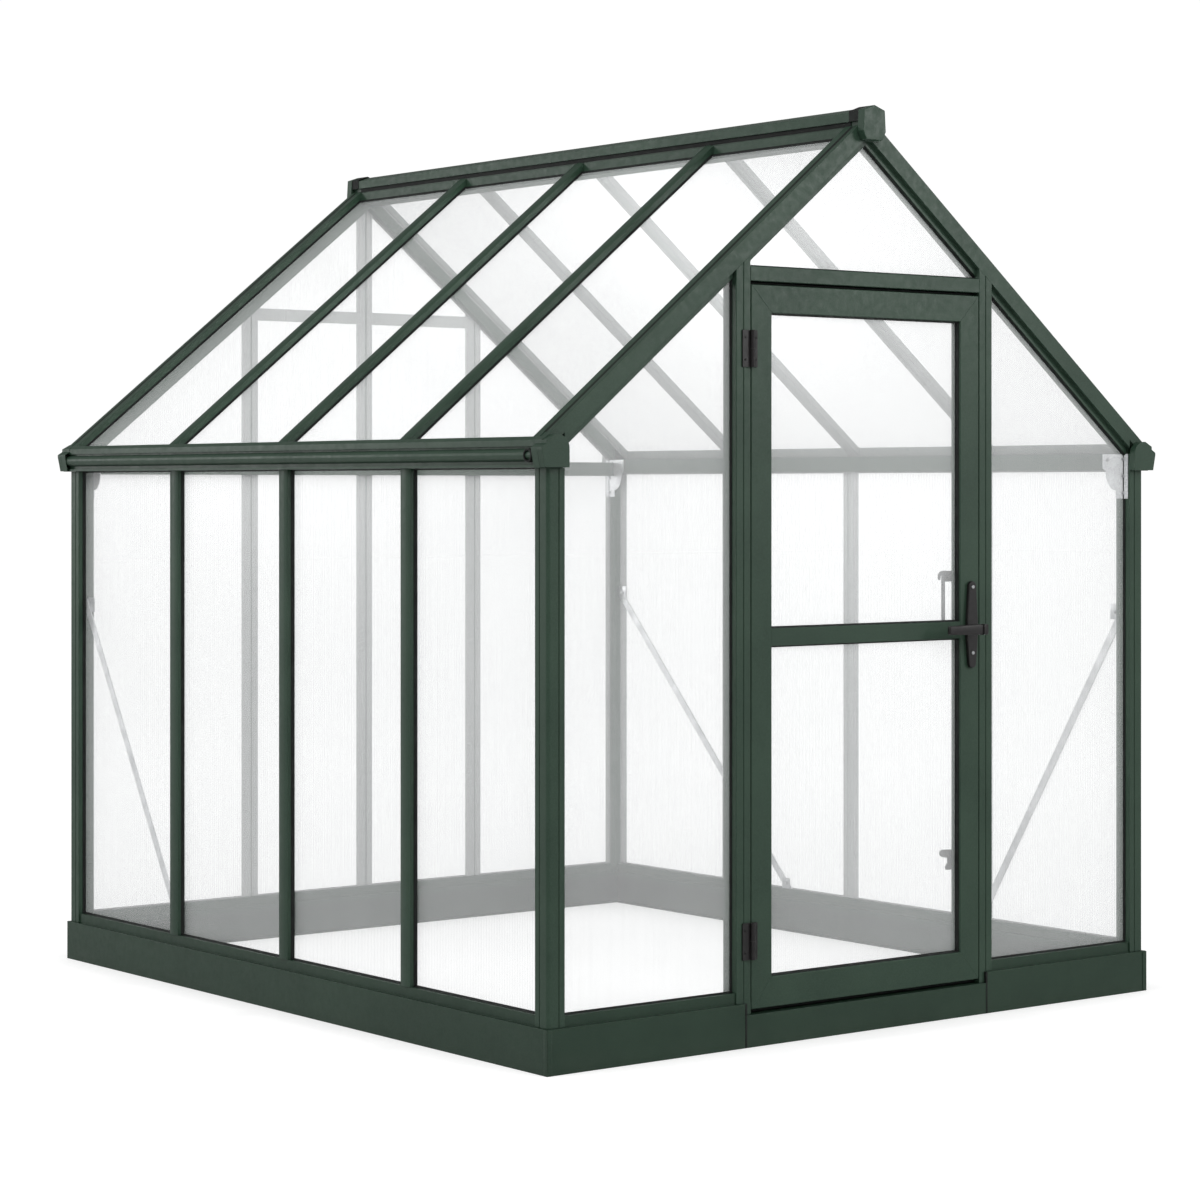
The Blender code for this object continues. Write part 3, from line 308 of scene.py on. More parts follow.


# Frame and plinth paint; the third colour is a pale tone for the grain and for the painted edge
# highlight.
FRAME_PAINT = powder_coat(
    "frame_green_coat", (0.0165, 0.0370, 0.0230), (0.0230, 0.0475, 0.0300), (0.052, 0.088, 0.064)
)
PLINTH_PAINT = powder_coat(
    "plinth_green_coat", (0.0110, 0.0285, 0.0165), (0.0155, 0.0360, 0.0215), (0.040, 0.070, 0.050),
    dust=0.06,
)
BLACK = moulded_black()
BRACE = bare_metal(
    "brace_aluminium", (0.52, 0.53, 0.54), (0.80, 0.81, 0.82), (1, 0.1, 0.1), 0.28, 0.44
)
ZINC = bare_metal("zinc_fixings", (0.36, 0.37, 0.38), (0.66, 0.67, 0.68), (1, 1, 1), 0.26, 0.42)
DULL_ZINC = bare_metal(
    "dull_zinc_latch", (0.070, 0.075, 0.075), (0.160, 0.168, 0.168), (1, 1, 1), 0.40, 0.55
)
BLACK_RUBBER_AND_SHADE = black_rubber_and_painted_shade()
PANEL_TINT = (0.87, 0.88, 0.885)
# The inner walls stand across y in the sides and the roof, and across x in the gables
PANELS = {
    word: twin_wall(f"twin_wall_{word}", axis, haze, PANEL_TINT)
    for word, axis, haze in (
        ("left", 1, 0.16), ("right", 1, 0.20), ("front", 0, 0.16), ("back", 0, 0.20)
    )
}

SLOT_LOOKS = {
    "frame_green": FRAME_PAINT,
    "plinth_green": PLINTH_PAINT,
    "black_hardware": BLACK,
    "brace_metal": BRACE,
    "panel": PANELS["front"],
}
for entry in frame["record"]["subparts"]:
    node_mesh = frame["nodes"][entry["node"]].data
    node_mesh.materials.clear()
    node_mesh.materials.append(SLOT_LOOKS[entry["material_slot"]])


# Mesh helpers


def piece(name, bm, material, body, smooth=None):
    """Makes one piece of the mesh, which rides on a body and takes the finish it is given."""
    bmesh.ops.recalc_face_normals(bm, faces=bm.faces[:])
    mesh = bpy.data.meshes.new(name)
    bm.to_mesh(mesh)
    bm.free()
    if smooth:
        mesh.polygons.foreach_set("use_smooth", [True] * len(mesh.polygons))
        mesh.set_sharp_from_angle(angle=math.radians(smooth))
    mesh.materials.append(material)
    obj = bpy.data.objects.new(name, mesh)
    bpy.context.scene.collection.objects.link(obj)
    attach(obj, body)
    return obj


def loft(bm, rings, closed=False):
    """Joins rings of equally many points by quads, and closes both ends unless it is a loop."""
    made = [[bm.verts.new(p) for p in ring] for ring in rings]
    pairs = list(zip(made, made[1:]))
    if closed:
        pairs.append((made[-1], made[0]))
    for one, other in pairs:
        count = len(one)
        for n in range(count):
            m = (n + 1) % count
            bm.faces.new((one[n], one[m], other[m], other[n]))
    if not closed:
        bm.faces.new(made[0])
        bm.faces.new(made[-1])


def prism(bm, outline, place, low, high):
    """A flat outline of (u, v), thick from depth low to depth high."""
    loft(bm, [[place(u, v, d) for u, v in outline] for d in (low, high)])


def circle(middle, side, other, radius, segments):
    """Points round a middle, in the plane of two directions square to each other."""
    angles = (2 * math.pi * n / segments for n in range(segments))
    return [middle + (side * math.cos(a) + other * math.sin(a)) * radius for a in angles]


def lathe(bm, at, axis, profile, segments):
    """Turns a profile of (radius, height) round an axis and closes it at both ends."""
    axis = axis.normalized()
    side = axis.orthogonal().normalized()
    other = axis.cross(side)
    loft(bm, [
        circle(at + axis * height, side, other, radius, segments) for radius, height in profile
    ])


def sweep(bm, path, radius, segments):
    """A round rod along a path of points."""
    rings = []
    side = None
    for n, point in enumerate(path):
        ahead = path[min(n + 1, len(path) - 1)] - path[max(n - 1, 0)]
        axis = ahead.normalized()
        if side is None:
            side = axis.orthogonal().normalized()
        side = (side - axis * side.dot(axis)).normalized()
        rings.append(circle(point, side, axis.cross(side), radius, segments))
    loft(bm, rings)


def block(bm, low, high, chamfer=0.0008):
    """A block with chamfered edges between two corners."""
    low = Vector(low)
    high = Vector(high)
    own = bmesh.new()
    bmesh.ops.create_cube(own, size=1.0)
    bmesh.ops.scale(own, verts=own.verts[:], vec=high - low)
    bmesh.ops.translate(own, verts=own.verts[:], vec=(low + high) / 2)
    bmesh.ops.bevel(
        own, geom=own.edges[:], offset=chamfer, segments=2, profile=0.6, affect="EDGES"
    )
    mesh = bpy.data.meshes.new("block")
    own.to_mesh(mesh)
    own.free()
    bm.from_mesh(mesh)
    bpy.data.meshes.remove(mesh)


def hex_bolt(bm, at, axis, size=0.0048):
    """A washer, a chamfered hexagon nut and the end of its bolt; the size is the nut's radius."""
    washer = 0.0012
    lathe(bm, at, axis, [(size * 1.55, 0), (size * 1.55, 0.0009), (size * 1.45, washer)], 20)
    base = at + axis * washer
    lathe(bm, base, axis, [(size, 0), (size, size * 0.62), (size * 0.88, size * 0.78)], 6)
    lathe(
        bm, base + axis * size * 0.78, axis,
        [(size * 0.52, 0), (size * 0.52, size * 0.30), (size * 0.42, size * 0.42)], 12,
    )


def screw(bm, at, axis, radius):
    """A pan-head screw with a sunk socket in its head."""
    lathe(
        bm, at, axis,
        [
            (radius, 0), (radius, radius * 0.25), (radius * 0.86, radius * 0.48),
            (radius * 0.55, radius * 0.60), (radius * 0.40, radius * 0.60),
            (radius * 0.34, radius * 0.28),
        ], 14,
    )


# Openings between the frame members, and the panes behind them


def span_at(outline, u):
    """Lowest and highest v of a convex outline at u."""
    hits = []
    for (u0, v0), (u1, v1) in zip(outline, outline[1:] + outline[:1]):
        if abs(u1 - u0) < 1e-9:
            if abs(u - u0) < 1e-9:
                hits += [v0, v1]
            continue
        share = (u - u0) / (u1 - u0)
        if -1e-6 <= share <= 1 + 1e-6:
            hits.append(v0 + share * (v1 - v0))
    return min(hits), max(hits)


def pane(name, outline, place, material, body, replaced):
    """A twin-wall pane whose skins dip a little over each inner wall."""
    trim, dip_half, dip_depth, closest, shortest = 0.0005, 0.0008, 0.00005, 0.0002, 0.001
    low = min(u for u, _ in outline) + trim
    high = max(u for u, _ in outline) - trim
    stations = {low: 0.0, high: 0.0}
    for u, _ in outline:
        if low < u < high:
            stations[u] = 0.0
    line = math.ceil(low / WALL_PITCH)
    while line * WALL_PITCH < high - 0.001:
        middle = line * WALL_PITCH
        if middle > low + 0.001:
            for offset, dip in ((-dip_half, 0.0), (0.0, dip_depth), (dip_half, 0.0)):
                stations[middle + offset] = dip
        line += 1
    rings = []
    last = None
    for u in sorted(stations):
        if last is not None and u - last < closest:
            continue
        last = u
        bottom, top = span_at(outline, u)
        if top - bottom < shortest:
            continue
        dip = stations[u]
        rings.append([
            place(u, bottom, dip), place(u, top, dip), place(u, top, SHEET - dip),
            place(u, bottom, SHEET - dip),
        ])
    bm = bmesh.new()
    loft(bm, rings)
    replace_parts(piece(name, bm, material, body), replaced)


def inset(outline, width):
    """A convex outline, given anticlockwise, drawn in by a width all round."""
    count = len(outline)
    lines = []
    for n in range(count):
        start = Vector(outline[n])
        along = (Vector(outline[(n + 1) % count]) - start).normalized()
        inward = Vector((-along.y, along.x))
        lines.append((start + inward * width, along))
    points = []
    for n in range(count):
        p, a = lines[n - 1]
        q, b = lines[n]
        share = (q - p).cross(b) / a.cross(b)
        points.append(tuple(p + a * share))
    return points


def seal(name, opening, place, body, height=WALL_SEAL_AND_SHADE_HEIGHT):
    """A rubber seal round an opening: a lip on the pane and a tall leg, painted shade on the
    frame's sides.
    """
    profile = (
        (0.0003, -0.0002), (0.0003, -height), (0.0014, -height + 0.0004), (0.0018, -0.0030),
        (0.0036, -0.0012), (0.0036, -0.0002),
    )
    loops = [[place(u, v, d) for u, v in inset(opening, width)] for width, d in profile]
    bm = bmesh.new()
    loft(bm, [list(corner) for corner in zip(*loops)], closed=True)
    piece(name, bm, BLACK_RUBBER_AND_SHADE, body)


def side_place(side):
    return lambda u, v, d: Vector((side * (FACE_X - SHEET_INSET - d), u, v))


def roof_place(side):
    """u runs along the ridge, v up the slope from the eave's lip."""
    up = Vector((-side * math.cos(PITCH), 0, math.sin(PITCH)))
    into = Vector((-side * math.sin(PITCH), 0, -math.cos(PITCH)))
    eave = Vector((side * EAVE_LIP_X, 0, EAVE_TOP))
    return lambda u, v, d: eave + Y * u + up * v + into * (RAFTER_DEPTH + GAP + d)


def front_place(u, v, d):
    return Vector((u, FACE_FRONT + SHEET_INSET + d, v))


def back_place(u, v, d):
    return Vector((u, FACE_BACK - SHEET_INSET - d, v))


def door_place(u, v, d):
    return Vector((u, door_pane_low.y + d, v))


def under_rafter(x):
    return roof_height(x, GABLE_RAFTER_WIDTH + GAP)


def bays(ends, lines, half):
    """Pane and opening limits in each bay, between two ends and the middle lines of the bars."""
    marks = [ends[0]] + list(lines) + [ends[1]]
    for n, (low, high) in enumerate(zip(marks, marks[1:])):
        first = n == 0
        last = n == len(marks) - 2
        sheet = (low + (GAP if first else SHEET_MARGIN), high - (GAP if last else SHEET_MARGIN))
        clear = (low + (0 if first else half), high - (0 if last else half))
        yield n + 1, sheet, clear


def rectangle(across, up):
    return [(across[0], up[0]), (across[1], up[0]), (across[1], up[1]), (across[0], up[1])]


def gable_outline(across, bottom):
    """An outline under the gable rafters, from one x to another."""
    low, high = across
    top = [(high, under_rafter(high))]
    if low < 0 < high:
        top.append((0, under_rafter(0)))
    top.append((low, under_rafter(low)))
    return [(low, bottom), (high, bottom)] + top


def build_side_panes():
    for side, word in SIDES:
        place = side_place(side)
        for n, sheet, clear in bays((POST_IN_FRONT, POST_IN_BACK), MULLIONS_Y, MULLION_HALF):
            tall = (SILL_TOP + GAP, EAVE_BOTTOM - GAP)
            pane(
                f"pane_side_{word}_{n}", rectangle(sheet, tall), place, PANELS[word], "frame",
                f"glazing_side_{word}",
            )
            seal(f"seal_and_shade_side_{word}_{n}", rectangle(clear, (SILL_TOP, EAVE_BOTTOM)), place, "frame")


def build_roof_panes():
    ends = (FACE_FRONT + GABLE_RAFTER_DEPTH, FACE_BACK - GABLE_RAFTER_DEPTH)
    drop = (RAFTER_DEPTH + GAP) * math.tan(PITCH)
    foot = (EAVE_LIP_X - RAFTER_FOOT_X) / math.cos(PITCH) - drop
    head = (EAVE_LIP_X - RIDGE_HALF - GAP) / math.cos(PITCH) - drop - SHEET * math.tan(PITCH)
    for side, word in SIDES:
        place = roof_place(side)
        for n, sheet, clear in bays(ends, MULLIONS_Y, RAFTER_HALF):
            pane(
                f"pane_roof_{word}_{n}", rectangle(sheet, (foot, head)), place, PANELS[word],
                "frame", f"glazing_roof_{word}",
            )
            seal(
                f"seal_and_shade_roof_{word}_{n}", rectangle(clear, (foot + 0.001, head)), place, "frame",
                ROOF_SEAL_AND_SHADE_HEIGHT,
            )


def build_gable_panes():
    bottom = SILL_TOP + GAP
    for side, word in SIDES:
        ends = sorted((side * JAMB_OUT, side * POST_IN_X))
        sheet = (ends[0] + GAP, ends[1] - GAP)
        pane(
            f"pane_front_{word}", gable_outline(sheet, bottom), front_place, PANELS["front"],
            "frame", f"glazing_front_{word}",
        )
        seal(
            f"seal_and_shade_front_{word}", gable_outline(ends, SILL_TOP), front_place, "frame",
            GABLE_SEAL_AND_SHADE_HEIGHT,
        )
    sheet = (-JAMB_IN + GAP, JAMB_IN - GAP)
    pane(
        "pane_front_gable", gable_outline(sheet, HEADER_TOP + GAP), front_place, PANELS["front"],
        "frame", "glazing_front_gable",
    )
    seal(
        "seal_and_shade_front_gable", gable_outline((-JAMB_IN, JAMB_IN), HEADER_TOP), front_place, "frame",
        GABLE_SEAL_AND_SHADE_HEIGHT,
    )
    lines = (-JAMB_MIDDLE, 0.0, JAMB_MIDDLE)
    for n, sheet, clear in bays((-POST_IN_X, POST_IN_X), lines, MULLION_HALF):
        pane(
            f"pane_back_{n}", gable_outline(sheet, bottom), back_place, PANELS["back"], "frame",
            "glazing_back",
        )
        seal(
            f"seal_and_shade_back_{n}", gable_outline(clear, SILL_TOP), back_place, "frame",
            GABLE_SEAL_AND_SHADE_HEIGHT,
        )


def build_door_panes():
    across = (door_pane_low.x, door_pane_high.x)
    middle = (mid_low.z + mid_high.z) / 2
    pieces = (
        ("lower", (door_pane_low.z, middle - 0.001), (door_pane_low.z, mid_low.z)),
        ("upper", (middle + 0.001, door_pane_high.z), (mid_high.z, door_pane_high.z)),
    )
    for word, tall, clear in pieces:
        pane(
            f"pane_door_{word}", rectangle(across, tall), door_place, PANELS["front"], "door",
            "glazing_door",
        )
        seal(
            f"seal_and_shade_door_{word}", rectangle(across, clear), door_place, "door", DOOR_SEAL_AND_SHADE_HEIGHT
        )


# Fixings, trim and strips of painted shade


def gusset_outline():
    """A corner plate: an arm up over the beam, an arm down the post and a bowed free edge."""
    reach, fall, beam_arm, post_arm, post, beam = 0.034, 0.050, 0.044, 0.070, -0.040, 0.040
    bow = []
    for n in range(9):
        a = math.pi / 2 * n / 8
        bow.append((reach * math.sin(a), -fall * math.cos(a)))
    return [(post, beam), (post, -post_arm), (0.0, -post_arm)] + bow + [
        (beam_arm, 0.004), (beam_arm, beam)
    ]


def gusset_place(side, y, inward):
    """u runs inward from the post's inner edge, v up, and d away from the wall."""
    return lambda u, v, d: Vector((side * (POST_IN_X - GAP - d), y + inward * u, EAVE_BOTTOM + v))


def build_gussets():
    """Zinc corner plates and their nuts, inside the four corners below the eaves."""
    for side, word in SIDES:
        for y, inward, end in ((POST_IN_FRONT, 1, "front"), (POST_IN_BACK, -1, "back")):
            place = gusset_place(side, y, inward)
            bm = bmesh.new()
            prism(bm, gusset_outline(), place, 0, 0.002)
            for u, v in ((-0.022, -0.056), (-0.022, -0.014), (-0.022, 0.028), (0.028, 0.026)):
                hex_bolt(bm, place(u, v, 0.002), -X * side, 0.0040)
            piece(f"gusset_{end}_{word}", bm, ZINC, "frame", 30)


def build_brace_fixings():
    """A tab and a nut at each end of the three braces."""
    thickness, chamfer = 0.002, 0.0006
    for name in ("brace_left_back", "brace_right_back", "brace_right_front"):
        low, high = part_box(name)
        side = -1 if low.x < 0 else 1
        inner = min(abs(low.x), abs(high.x)) - GAP
        front = inner - thickness
        skins = sorted((side * inner, side * front))
        if name.endswith("back"):
            post_y, foot_y, step = high.y, low.y, -1
        else:
            post_y, foot_y, step = low.y, high.y, 1
        bm = bmesh.new()
        ends = sorted((post_y, post_y + step * 0.034))
        block(
            bm, (skins[0], ends[0], high.z - 0.034), (skins[1], ends[1], high.z + 0.004), chamfer
        )
        hex_bolt(bm, Vector((side * front, post_y + step * 0.016, high.z - 0.016)), -X * side)
        ends = sorted((foot_y - step * 0.006, foot_y - step * 0.038))
        block(
            bm, (skins[0], ends[0], SILL_TOP + GAP), (skins[1], ends[1], SILL_TOP + 0.030), chamfer
        )
        hex_bolt(bm, Vector((side * front, foot_y - step * 0.020, SILL_TOP + 0.017)), -X * side)
        piece(f"fixings_{name}", bm, ZINC, "frame", 30)


def build_base_trim():
    """The front plinth's folded returns round its corners, and the fishplates inside its seams."""
    skin = 0.0012
    top = PLINTH_TOP - 0.001
    front = front_base_low.y - skin
    for side, word in SIDES:
        outer = -side * front_base_low.x
        bm = bmesh.new()
        skins = sorted((outer, outer + side * skin))
        block(
            bm, (skins[0], front, GAP), (skins[1], front_base_low.y + 0.011, top), 0.0004
        )
        wrap = sorted((outer - side * 0.012, outer + side * skin))
        block(bm, (wrap[0], front, GAP), (wrap[1], front + 0.0010, top), 0.0004)
        piece(f"plinth_fold_{word}", bm, PLINTH_PAINT, "frame", 30)
        seam = side * JAMB_MIDDLE
        bm = bmesh.new()
        inside = front_base_low.y + 0.0034
        block(bm, (seam - 0.030, inside, 0.006), (seam + 0.030, inside + 0.0025, 0.064), 0.0006)
        for offset in (-0.018, 0.018):
            hex_bolt(bm, Vector((seam + offset, inside + 0.0025, 0.036)), Y)
        piece(f"plinth_fishplate_{word}", bm, ZINC, "frame", 30)


def build_gutter_outlets():
    """A round, hollow black outlet in each gutter nose, just behind the front cap; the black inside
    its cup is painted shade in the hole.
    """
    for side, word in SIDES:
        bm = bmesh.new()
        at = Vector((side * (GUTTER_NOSE_X - 0.0085), FACE_FRONT + 0.038, EAVE_BOTTOM + 0.0255))
        lathe(
            bm, at, X * side,
            [
                (0.0150, 0), (0.0150, 0.0100), (0.0136, 0.0112), (0.0118, 0.0112),
                (0.0108, 0.0102), (0.0104, 0.0040),
            ], 24,
        )
        piece(f"gutter_outlet_{word}", bm, BLACK_RUBBER_AND_SHADE, "frame", 35)


def sleeve(name, path, thickness, start, length, side, material):
    """A strip bent along a path of (out, height) points, thick inward and drawn along y."""
    inner = []
    for n, point in enumerate(path):
        here = Vector(point)
        before = (here - Vector(path[n - 1])).normalized() if n else None
        after = (Vector(path[n + 1]) - here).normalized() if n + 1 < len(path) else None
        along = ((before or after) + (after or before)).normalized()
        inner.append(tuple(here + Vector((-along.y, along.x)) * thickness))
    bm = bmesh.new()
    outline = path + inner[::-1]
    prism(bm, outline, lambda u, v, d: Vector((side * u, start + d, v)), 0, length)
    piece(name, bm, material, "frame", 30)


def build_collars():
    """The part of each eave cap that wraps its beam's end, and the dark joint before each ridge
    cap."""
    thickness, cap_depth, joint_depth = 0.0008, 0.022, 0.032
    cap = (
        (0.0010, -0.0009), (0.0142, -0.0009), (0.0218, 0.0370), (0.0218, 0.0430),
        (0.0090, 0.0508), (0.0090, 0.0590), (0.0035, 0.0622),
    )
    cap_path = [(CAP_X + out, EAVE_BOTTOM + up) for out, up in cap]
    joint = (
        (0.0310, -0.036), (0.0310, -0.0116), (0.0, -0.0001), (-0.0310, -0.0116), (-0.0310, -0.036)
    )
    joint_path = [(across, ridge_high.z + up) for across, up in joint]
    for face, inward, end in ENDS:
        start = face + inward * GAP
        for side, word in SIDES:
            sleeve(
                f"eave_cap_collar_{end}_{word}", cap_path, thickness, start, inward * cap_depth,
                side, FRAME_PAINT,
            )
        sleeve(
            f"ridge_collar_{end}", joint_path, thickness, start, inward * joint_depth, 1, BLACK_RUBBER_AND_SHADE,
        )


def cap_place(side, face, inward):
    """u runs outward from the cap's corner, v up from the post's top, and d out of the gable."""
    return lambda u, v, d: Vector((side * (CAP_X + u), face - inward * d, EAVE_BOTTOM + v))


def build_cap_faces():
    """The face of each eave cap, and its bowed inner shoulder over the gable rafter's foot."""
    proud, skin = 0.0164, 0.0010
    shoulder = []
    for n in range(9):
        a = math.pi / 2 * n / 8
        shoulder.append((-0.0203 - 0.0307 * math.sin(a), 0.0408 + 0.0292 * math.cos(a)))
    filler = shoulder + [(-0.0510, 0.0003), (-0.0384, 0.0003), (-0.0384, 0.0514)]
    outline = shoulder + [
        (-0.0510, 0.0), (0.0140, 0.0), (0.0219, 0.0370), (0.0219, 0.0430), (0.0088, 0.0510),
        (0.0088, 0.0580), (-0.0140, 0.0700),
    ]
    for face, inward, end in ENDS:
        for side, word in SIDES:
            place = cap_place(side, face, inward)
            bm = bmesh.new()
            prism(bm, filler, place, GAP, proud)
            prism(bm, outline, place, proud, proud + skin)
            piece(f"eave_cap_face_{end}_{word}", bm, FRAME_PAINT, "frame", 30)


def build_painted_shade_strips():
    """Black strips of painted shade in the recesses beside the ridge cover and in the gable
    rafters' grooves.
    """
    cover = ridge_high.z - 0.032
    recess = 0.034
    groove = [(0.0142, 0.0002), (0.0142, 0.0013), (0.0238, 0.0013), (0.0238, 0.0002)]
    for side, word in SIDES:
        # Painted shade: a black strip over the inner wall of the recess beside the ridge cover.
        bm = bmesh.new()
        across = sorted((side * 0.0222, side * 0.0240))
        block(
            bm, (across[0], FACE_FRONT + recess, cover - 0.0137),
            (across[1], FACE_BACK - recess, cover - 0.0003), 0.0004,
        )
        piece(f"ridge_recess_shade_{word}", bm, BLACK_RUBBER_AND_SHADE, "frame", 30)
        up = Vector((-side * math.cos(PITCH), 0, math.sin(PITCH)))
        into = Vector((-side * math.sin(PITCH), 0, -math.cos(PITCH)))
        eave = Vector((side * EAVE_LIP_X, 0, EAVE_TOP))
        for face, inward, end in ENDS:
            # Painted shade: a black strip in the groove on the rafter's top.
            bm = bmesh.new()
            prism(
                bm, groove, lambda u, v, d: eave + up * d + into * v + Y * (face + inward * u),
                0.030, (EAVE_LIP_X - RIDGE_HALF - 0.004) / math.cos(PITCH),
            )
            piece(f"rafter_groove_shade_{end}_{word}", bm, BLACK_RUBBER_AND_SHADE, "frame", 30)


def build_door_seals_and_gap_shade():
    """Black rubber strips round the leaf, in front of the door's stops, that paint the shade in the
    gaps round it, and strips of painted shade in the seams beside the threshold."""
    stop = stile_high.y + 0.0006
    strips = (
        ("top", top_rail_high.z + 0.0010, HEADER_BOTTOM - GAP),
        ("bottom", THRESHOLD_HEIGHT + GAP, bottom_rail_low.z - 0.0010),
    )
    # The strips above and below the leaf fill those gaps with black, as painted shade.
    for word, low, high in strips:
        middle = (low + high) / 2
        half = (high - low) / 2
        outline = [(stop, low)]
        for n in range(9):
            a = math.pi * (n / 8 - 0.5)
            outline.append((stop - 0.009 - 0.004 * math.cos(a), middle + half * math.sin(a)))
        outline.append((stop, high))
        bm = bmesh.new()
        prism(
            bm, outline, lambda u, v, d: Vector((d, u, v)), -JAMB_IN + 2 * GAP, JAMB_IN - 2 * GAP
        )
        piece(f"door_seal_and_gap_shade_{word}", bm, BLACK_RUBBER_AND_SHADE, "frame", 40)
    foot = bottom_rail_low.z
    for side, word in SIDES:
        # A black strip in the gap beside the leaf, as painted shade.
        bm = bmesh.new()
        across = sorted((side * (JAMB_IN - 0.0005), side * (JAMB_IN - 0.0014)))
        block(
            bm, (across[0], stop - 0.011, foot), (across[1], stop, top_rail_high.z), 0.0002
        )
        piece(f"door_seal_and_gap_shade_{word}", bm, BLACK_RUBBER_AND_SHADE, "frame", 40)
        # Painted shade: black strips where the threshold meets the plinth.
        bm = bmesh.new()
        across = sorted((side * (threshold_high.x - 0.0050), side * (threshold_high.x + GAP / 2)))
        face = front_base_low.y - 0.0006
        block(bm, (across[0], face, GAP), (across[1], face + 0.0005, THRESHOLD_HEIGHT), 0.0001)
        block(
            bm, (across[0], face, THRESHOLD_HEIGHT + GAP),
            (across[1], FACE_FRONT - GAP, PLINTH_TOP), 0.0001,
        )
        piece(f"threshold_seam_shade_{word}", bm, BLACK_RUBBER_AND_SHADE, "frame", 30)


def build_latch():
    """Inside the door's lock stile: a hook plate, its rod down to the lever, and a lower catch.

    Their outlines are given from the stile's inner edge and as heights above the ground."""
    back = stile_high.y
    edge = stile_low.x
    bm = bmesh.new()
    hook = [
        (0.016, 1.0210), (0.016, 1.0460), (-0.026, 1.0470), (-0.036, 1.0445), (-0.041, 1.0380),
        (-0.042, 1.0275), (-0.0385, 1.0245), (-0.0350, 1.0270), (-0.0345, 1.0340),
        (-0.0310, 1.0375), (-0.0270, 1.0360), (-0.0260, 1.0210),
    ]
    prism(bm, hook, lambda u, v, d: Vector((edge + u, back + GAP + d, v)), 0, 0.003)
    hex_bolt(bm, Vector((edge + 0.009, back + GAP + 0.003, 1.034)), Y, 0.0038)
    piece("latch_hook", bm, DULL_ZINC, "door", 30)
    bm = bmesh.new()
    rod_x = edge - 0.020
    path = [
        Vector((rod_x, back + 0.0075, 1.040)), Vector((rod_x, back + 0.0075, 1.000)),
        Vector((rod_x, back + 0.0075, 0.940)), Vector((rod_x, back + 0.0070, 0.915)),
        Vector((rod_x + 0.003, back + 0.0066, 0.909)),
        Vector((rod_x + 0.010, back + 0.0064, 0.906)),
        Vector((edge + 0.012, back + 0.0064, 0.906)),
    ]
    sweep(bm, path, 0.0046, 12)
    piece("latch_rod", bm, DULL_ZINC, "door", 40)
    bm = bmesh.new()
    catch = [
        (0.016, 0.352), (0.016, 0.382), (-0.004, 0.390), (-0.030, 0.391), (-0.036, 0.386),
        (-0.036, 0.379), (-0.030, 0.374), (-0.012, 0.371), (-0.010, 0.360), (-0.018, 0.350),
        (-0.016, 0.343), (-0.004, 0.342),
    ]
    prism(bm, catch, lambda u, v, d: Vector((edge + u, back + GAP + d, v)), 0, 0.004)
    hex_bolt(bm, Vector((edge + 0.009, back + GAP + 0.004, 0.367)), Y, 0.0038)
    piece("latch_catch", bm, DULL_ZINC, "door", 30)


def build_handle():
    """The lever handle and its neck, finer than the frame's own."""
    middle = Vector(((plate_low.x + plate_high.x) / 2, 0, (lever_low.z + lever_high.z) / 2))
    front = lever_low.y
    half_depth = 0.0055
    corner = 0.0024
    # Along x from the spindle, half the height there, and how far the faces are sunk
    stations = (
        (-0.1120, 0.0088, 0.0014), (-0.1114, 0.0097, 0.0004), (-0.1090, 0.0101, 0.0),
        (-0.0640, 0.0113, 0.0), (-0.0240, 0.0124, 0.0), (-0.0108, 0.0127, 0.0),
        (-0.0100, 0.0108, 0.0030), (-0.0030, 0.0108, 0.0030), (-0.0022, 0.0128, 0.0),
        (0.0090, 0.0126, 0.0), (0.0112, 0.0118, 0.0006), (0.0120, 0.0100, 0.0018),
    )
    rings = []
    for x, half, sunk in stations:
        ring = []
        for cx, cz, start in ((1, 1, 0), (-1, 1, 90), (-1, -1, 180), (1, -1, 270)):
            for turn in (0, 30, 60, 90):
                a = math.radians(start + turn)
                depth = half_depth - sunk
                ring.append(Vector((
                    middle.x + x,
                    front + half_depth - (cx * (depth - corner) + corner * math.cos(a)),
                    middle.z + cz * (half - corner) + corner * math.sin(a),
                )))
        rings.append(ring)
    bm = bmesh.new()
    loft(bm, rings)
    neck_start = Vector((middle.x, front + 0.0085, middle.z))
    reach = plate_low.y - GAP - neck_start.y
    lathe(
        bm, neck_start, Y,
        [(0.0090, 0), (0.0084, reach * 0.5), (0.0090, reach * 0.9), (0.0096, reach)], 24,
    )
    lever = piece("lever_handle", bm, BLACK, "lever", 40)
    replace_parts(lever, "handle_lever")


def build_screws():
    """Bright screws in the handle plate and black ones in the hinge leaves."""
    bm = bmesh.new()
    middle_x = (plate_low.x + plate_high.x) / 2
    middle_z = (plate_low.z + plate_high.z) / 2
    above_middle = (0.0885, -0.0665)
    for offset in above_middle:
        screw(bm, Vector((middle_x, plate_low.y - 0.0001, middle_z + offset)), -Y, 0.0042)
    piece("handle_screws", bm, ZINC, "door", 40)
    for word in ("upper", "lower"):
        for leaf, body in (("fixed_leaf", "frame"), ("door_leaf", "door")):
            low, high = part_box(f"hinge_{word}_{leaf}")
            bm = bmesh.new()
            across = low.x + 0.008 if body == "frame" else high.x - 0.0045
            for share in (0.2, 0.8):
                at = Vector((across, high.y - 0.0031, low.z + (high.z - low.z) * share))
                screw(bm, at, -Y, 0.0026)
            piece(f"hinge_screws_{word}_{leaf}", bm, BLACK, body, 40)


build_side_panes()
build_roof_panes()
build_gable_panes()
build_door_panes()
build_gussets()
build_brace_fixings()
build_base_trim()
build_gutter_outlets()
build_collars()
build_cap_faces()
build_painted_shade_strips()
build_door_seals_and_gap_shade()
build_latch()
build_handle()
build_screws()


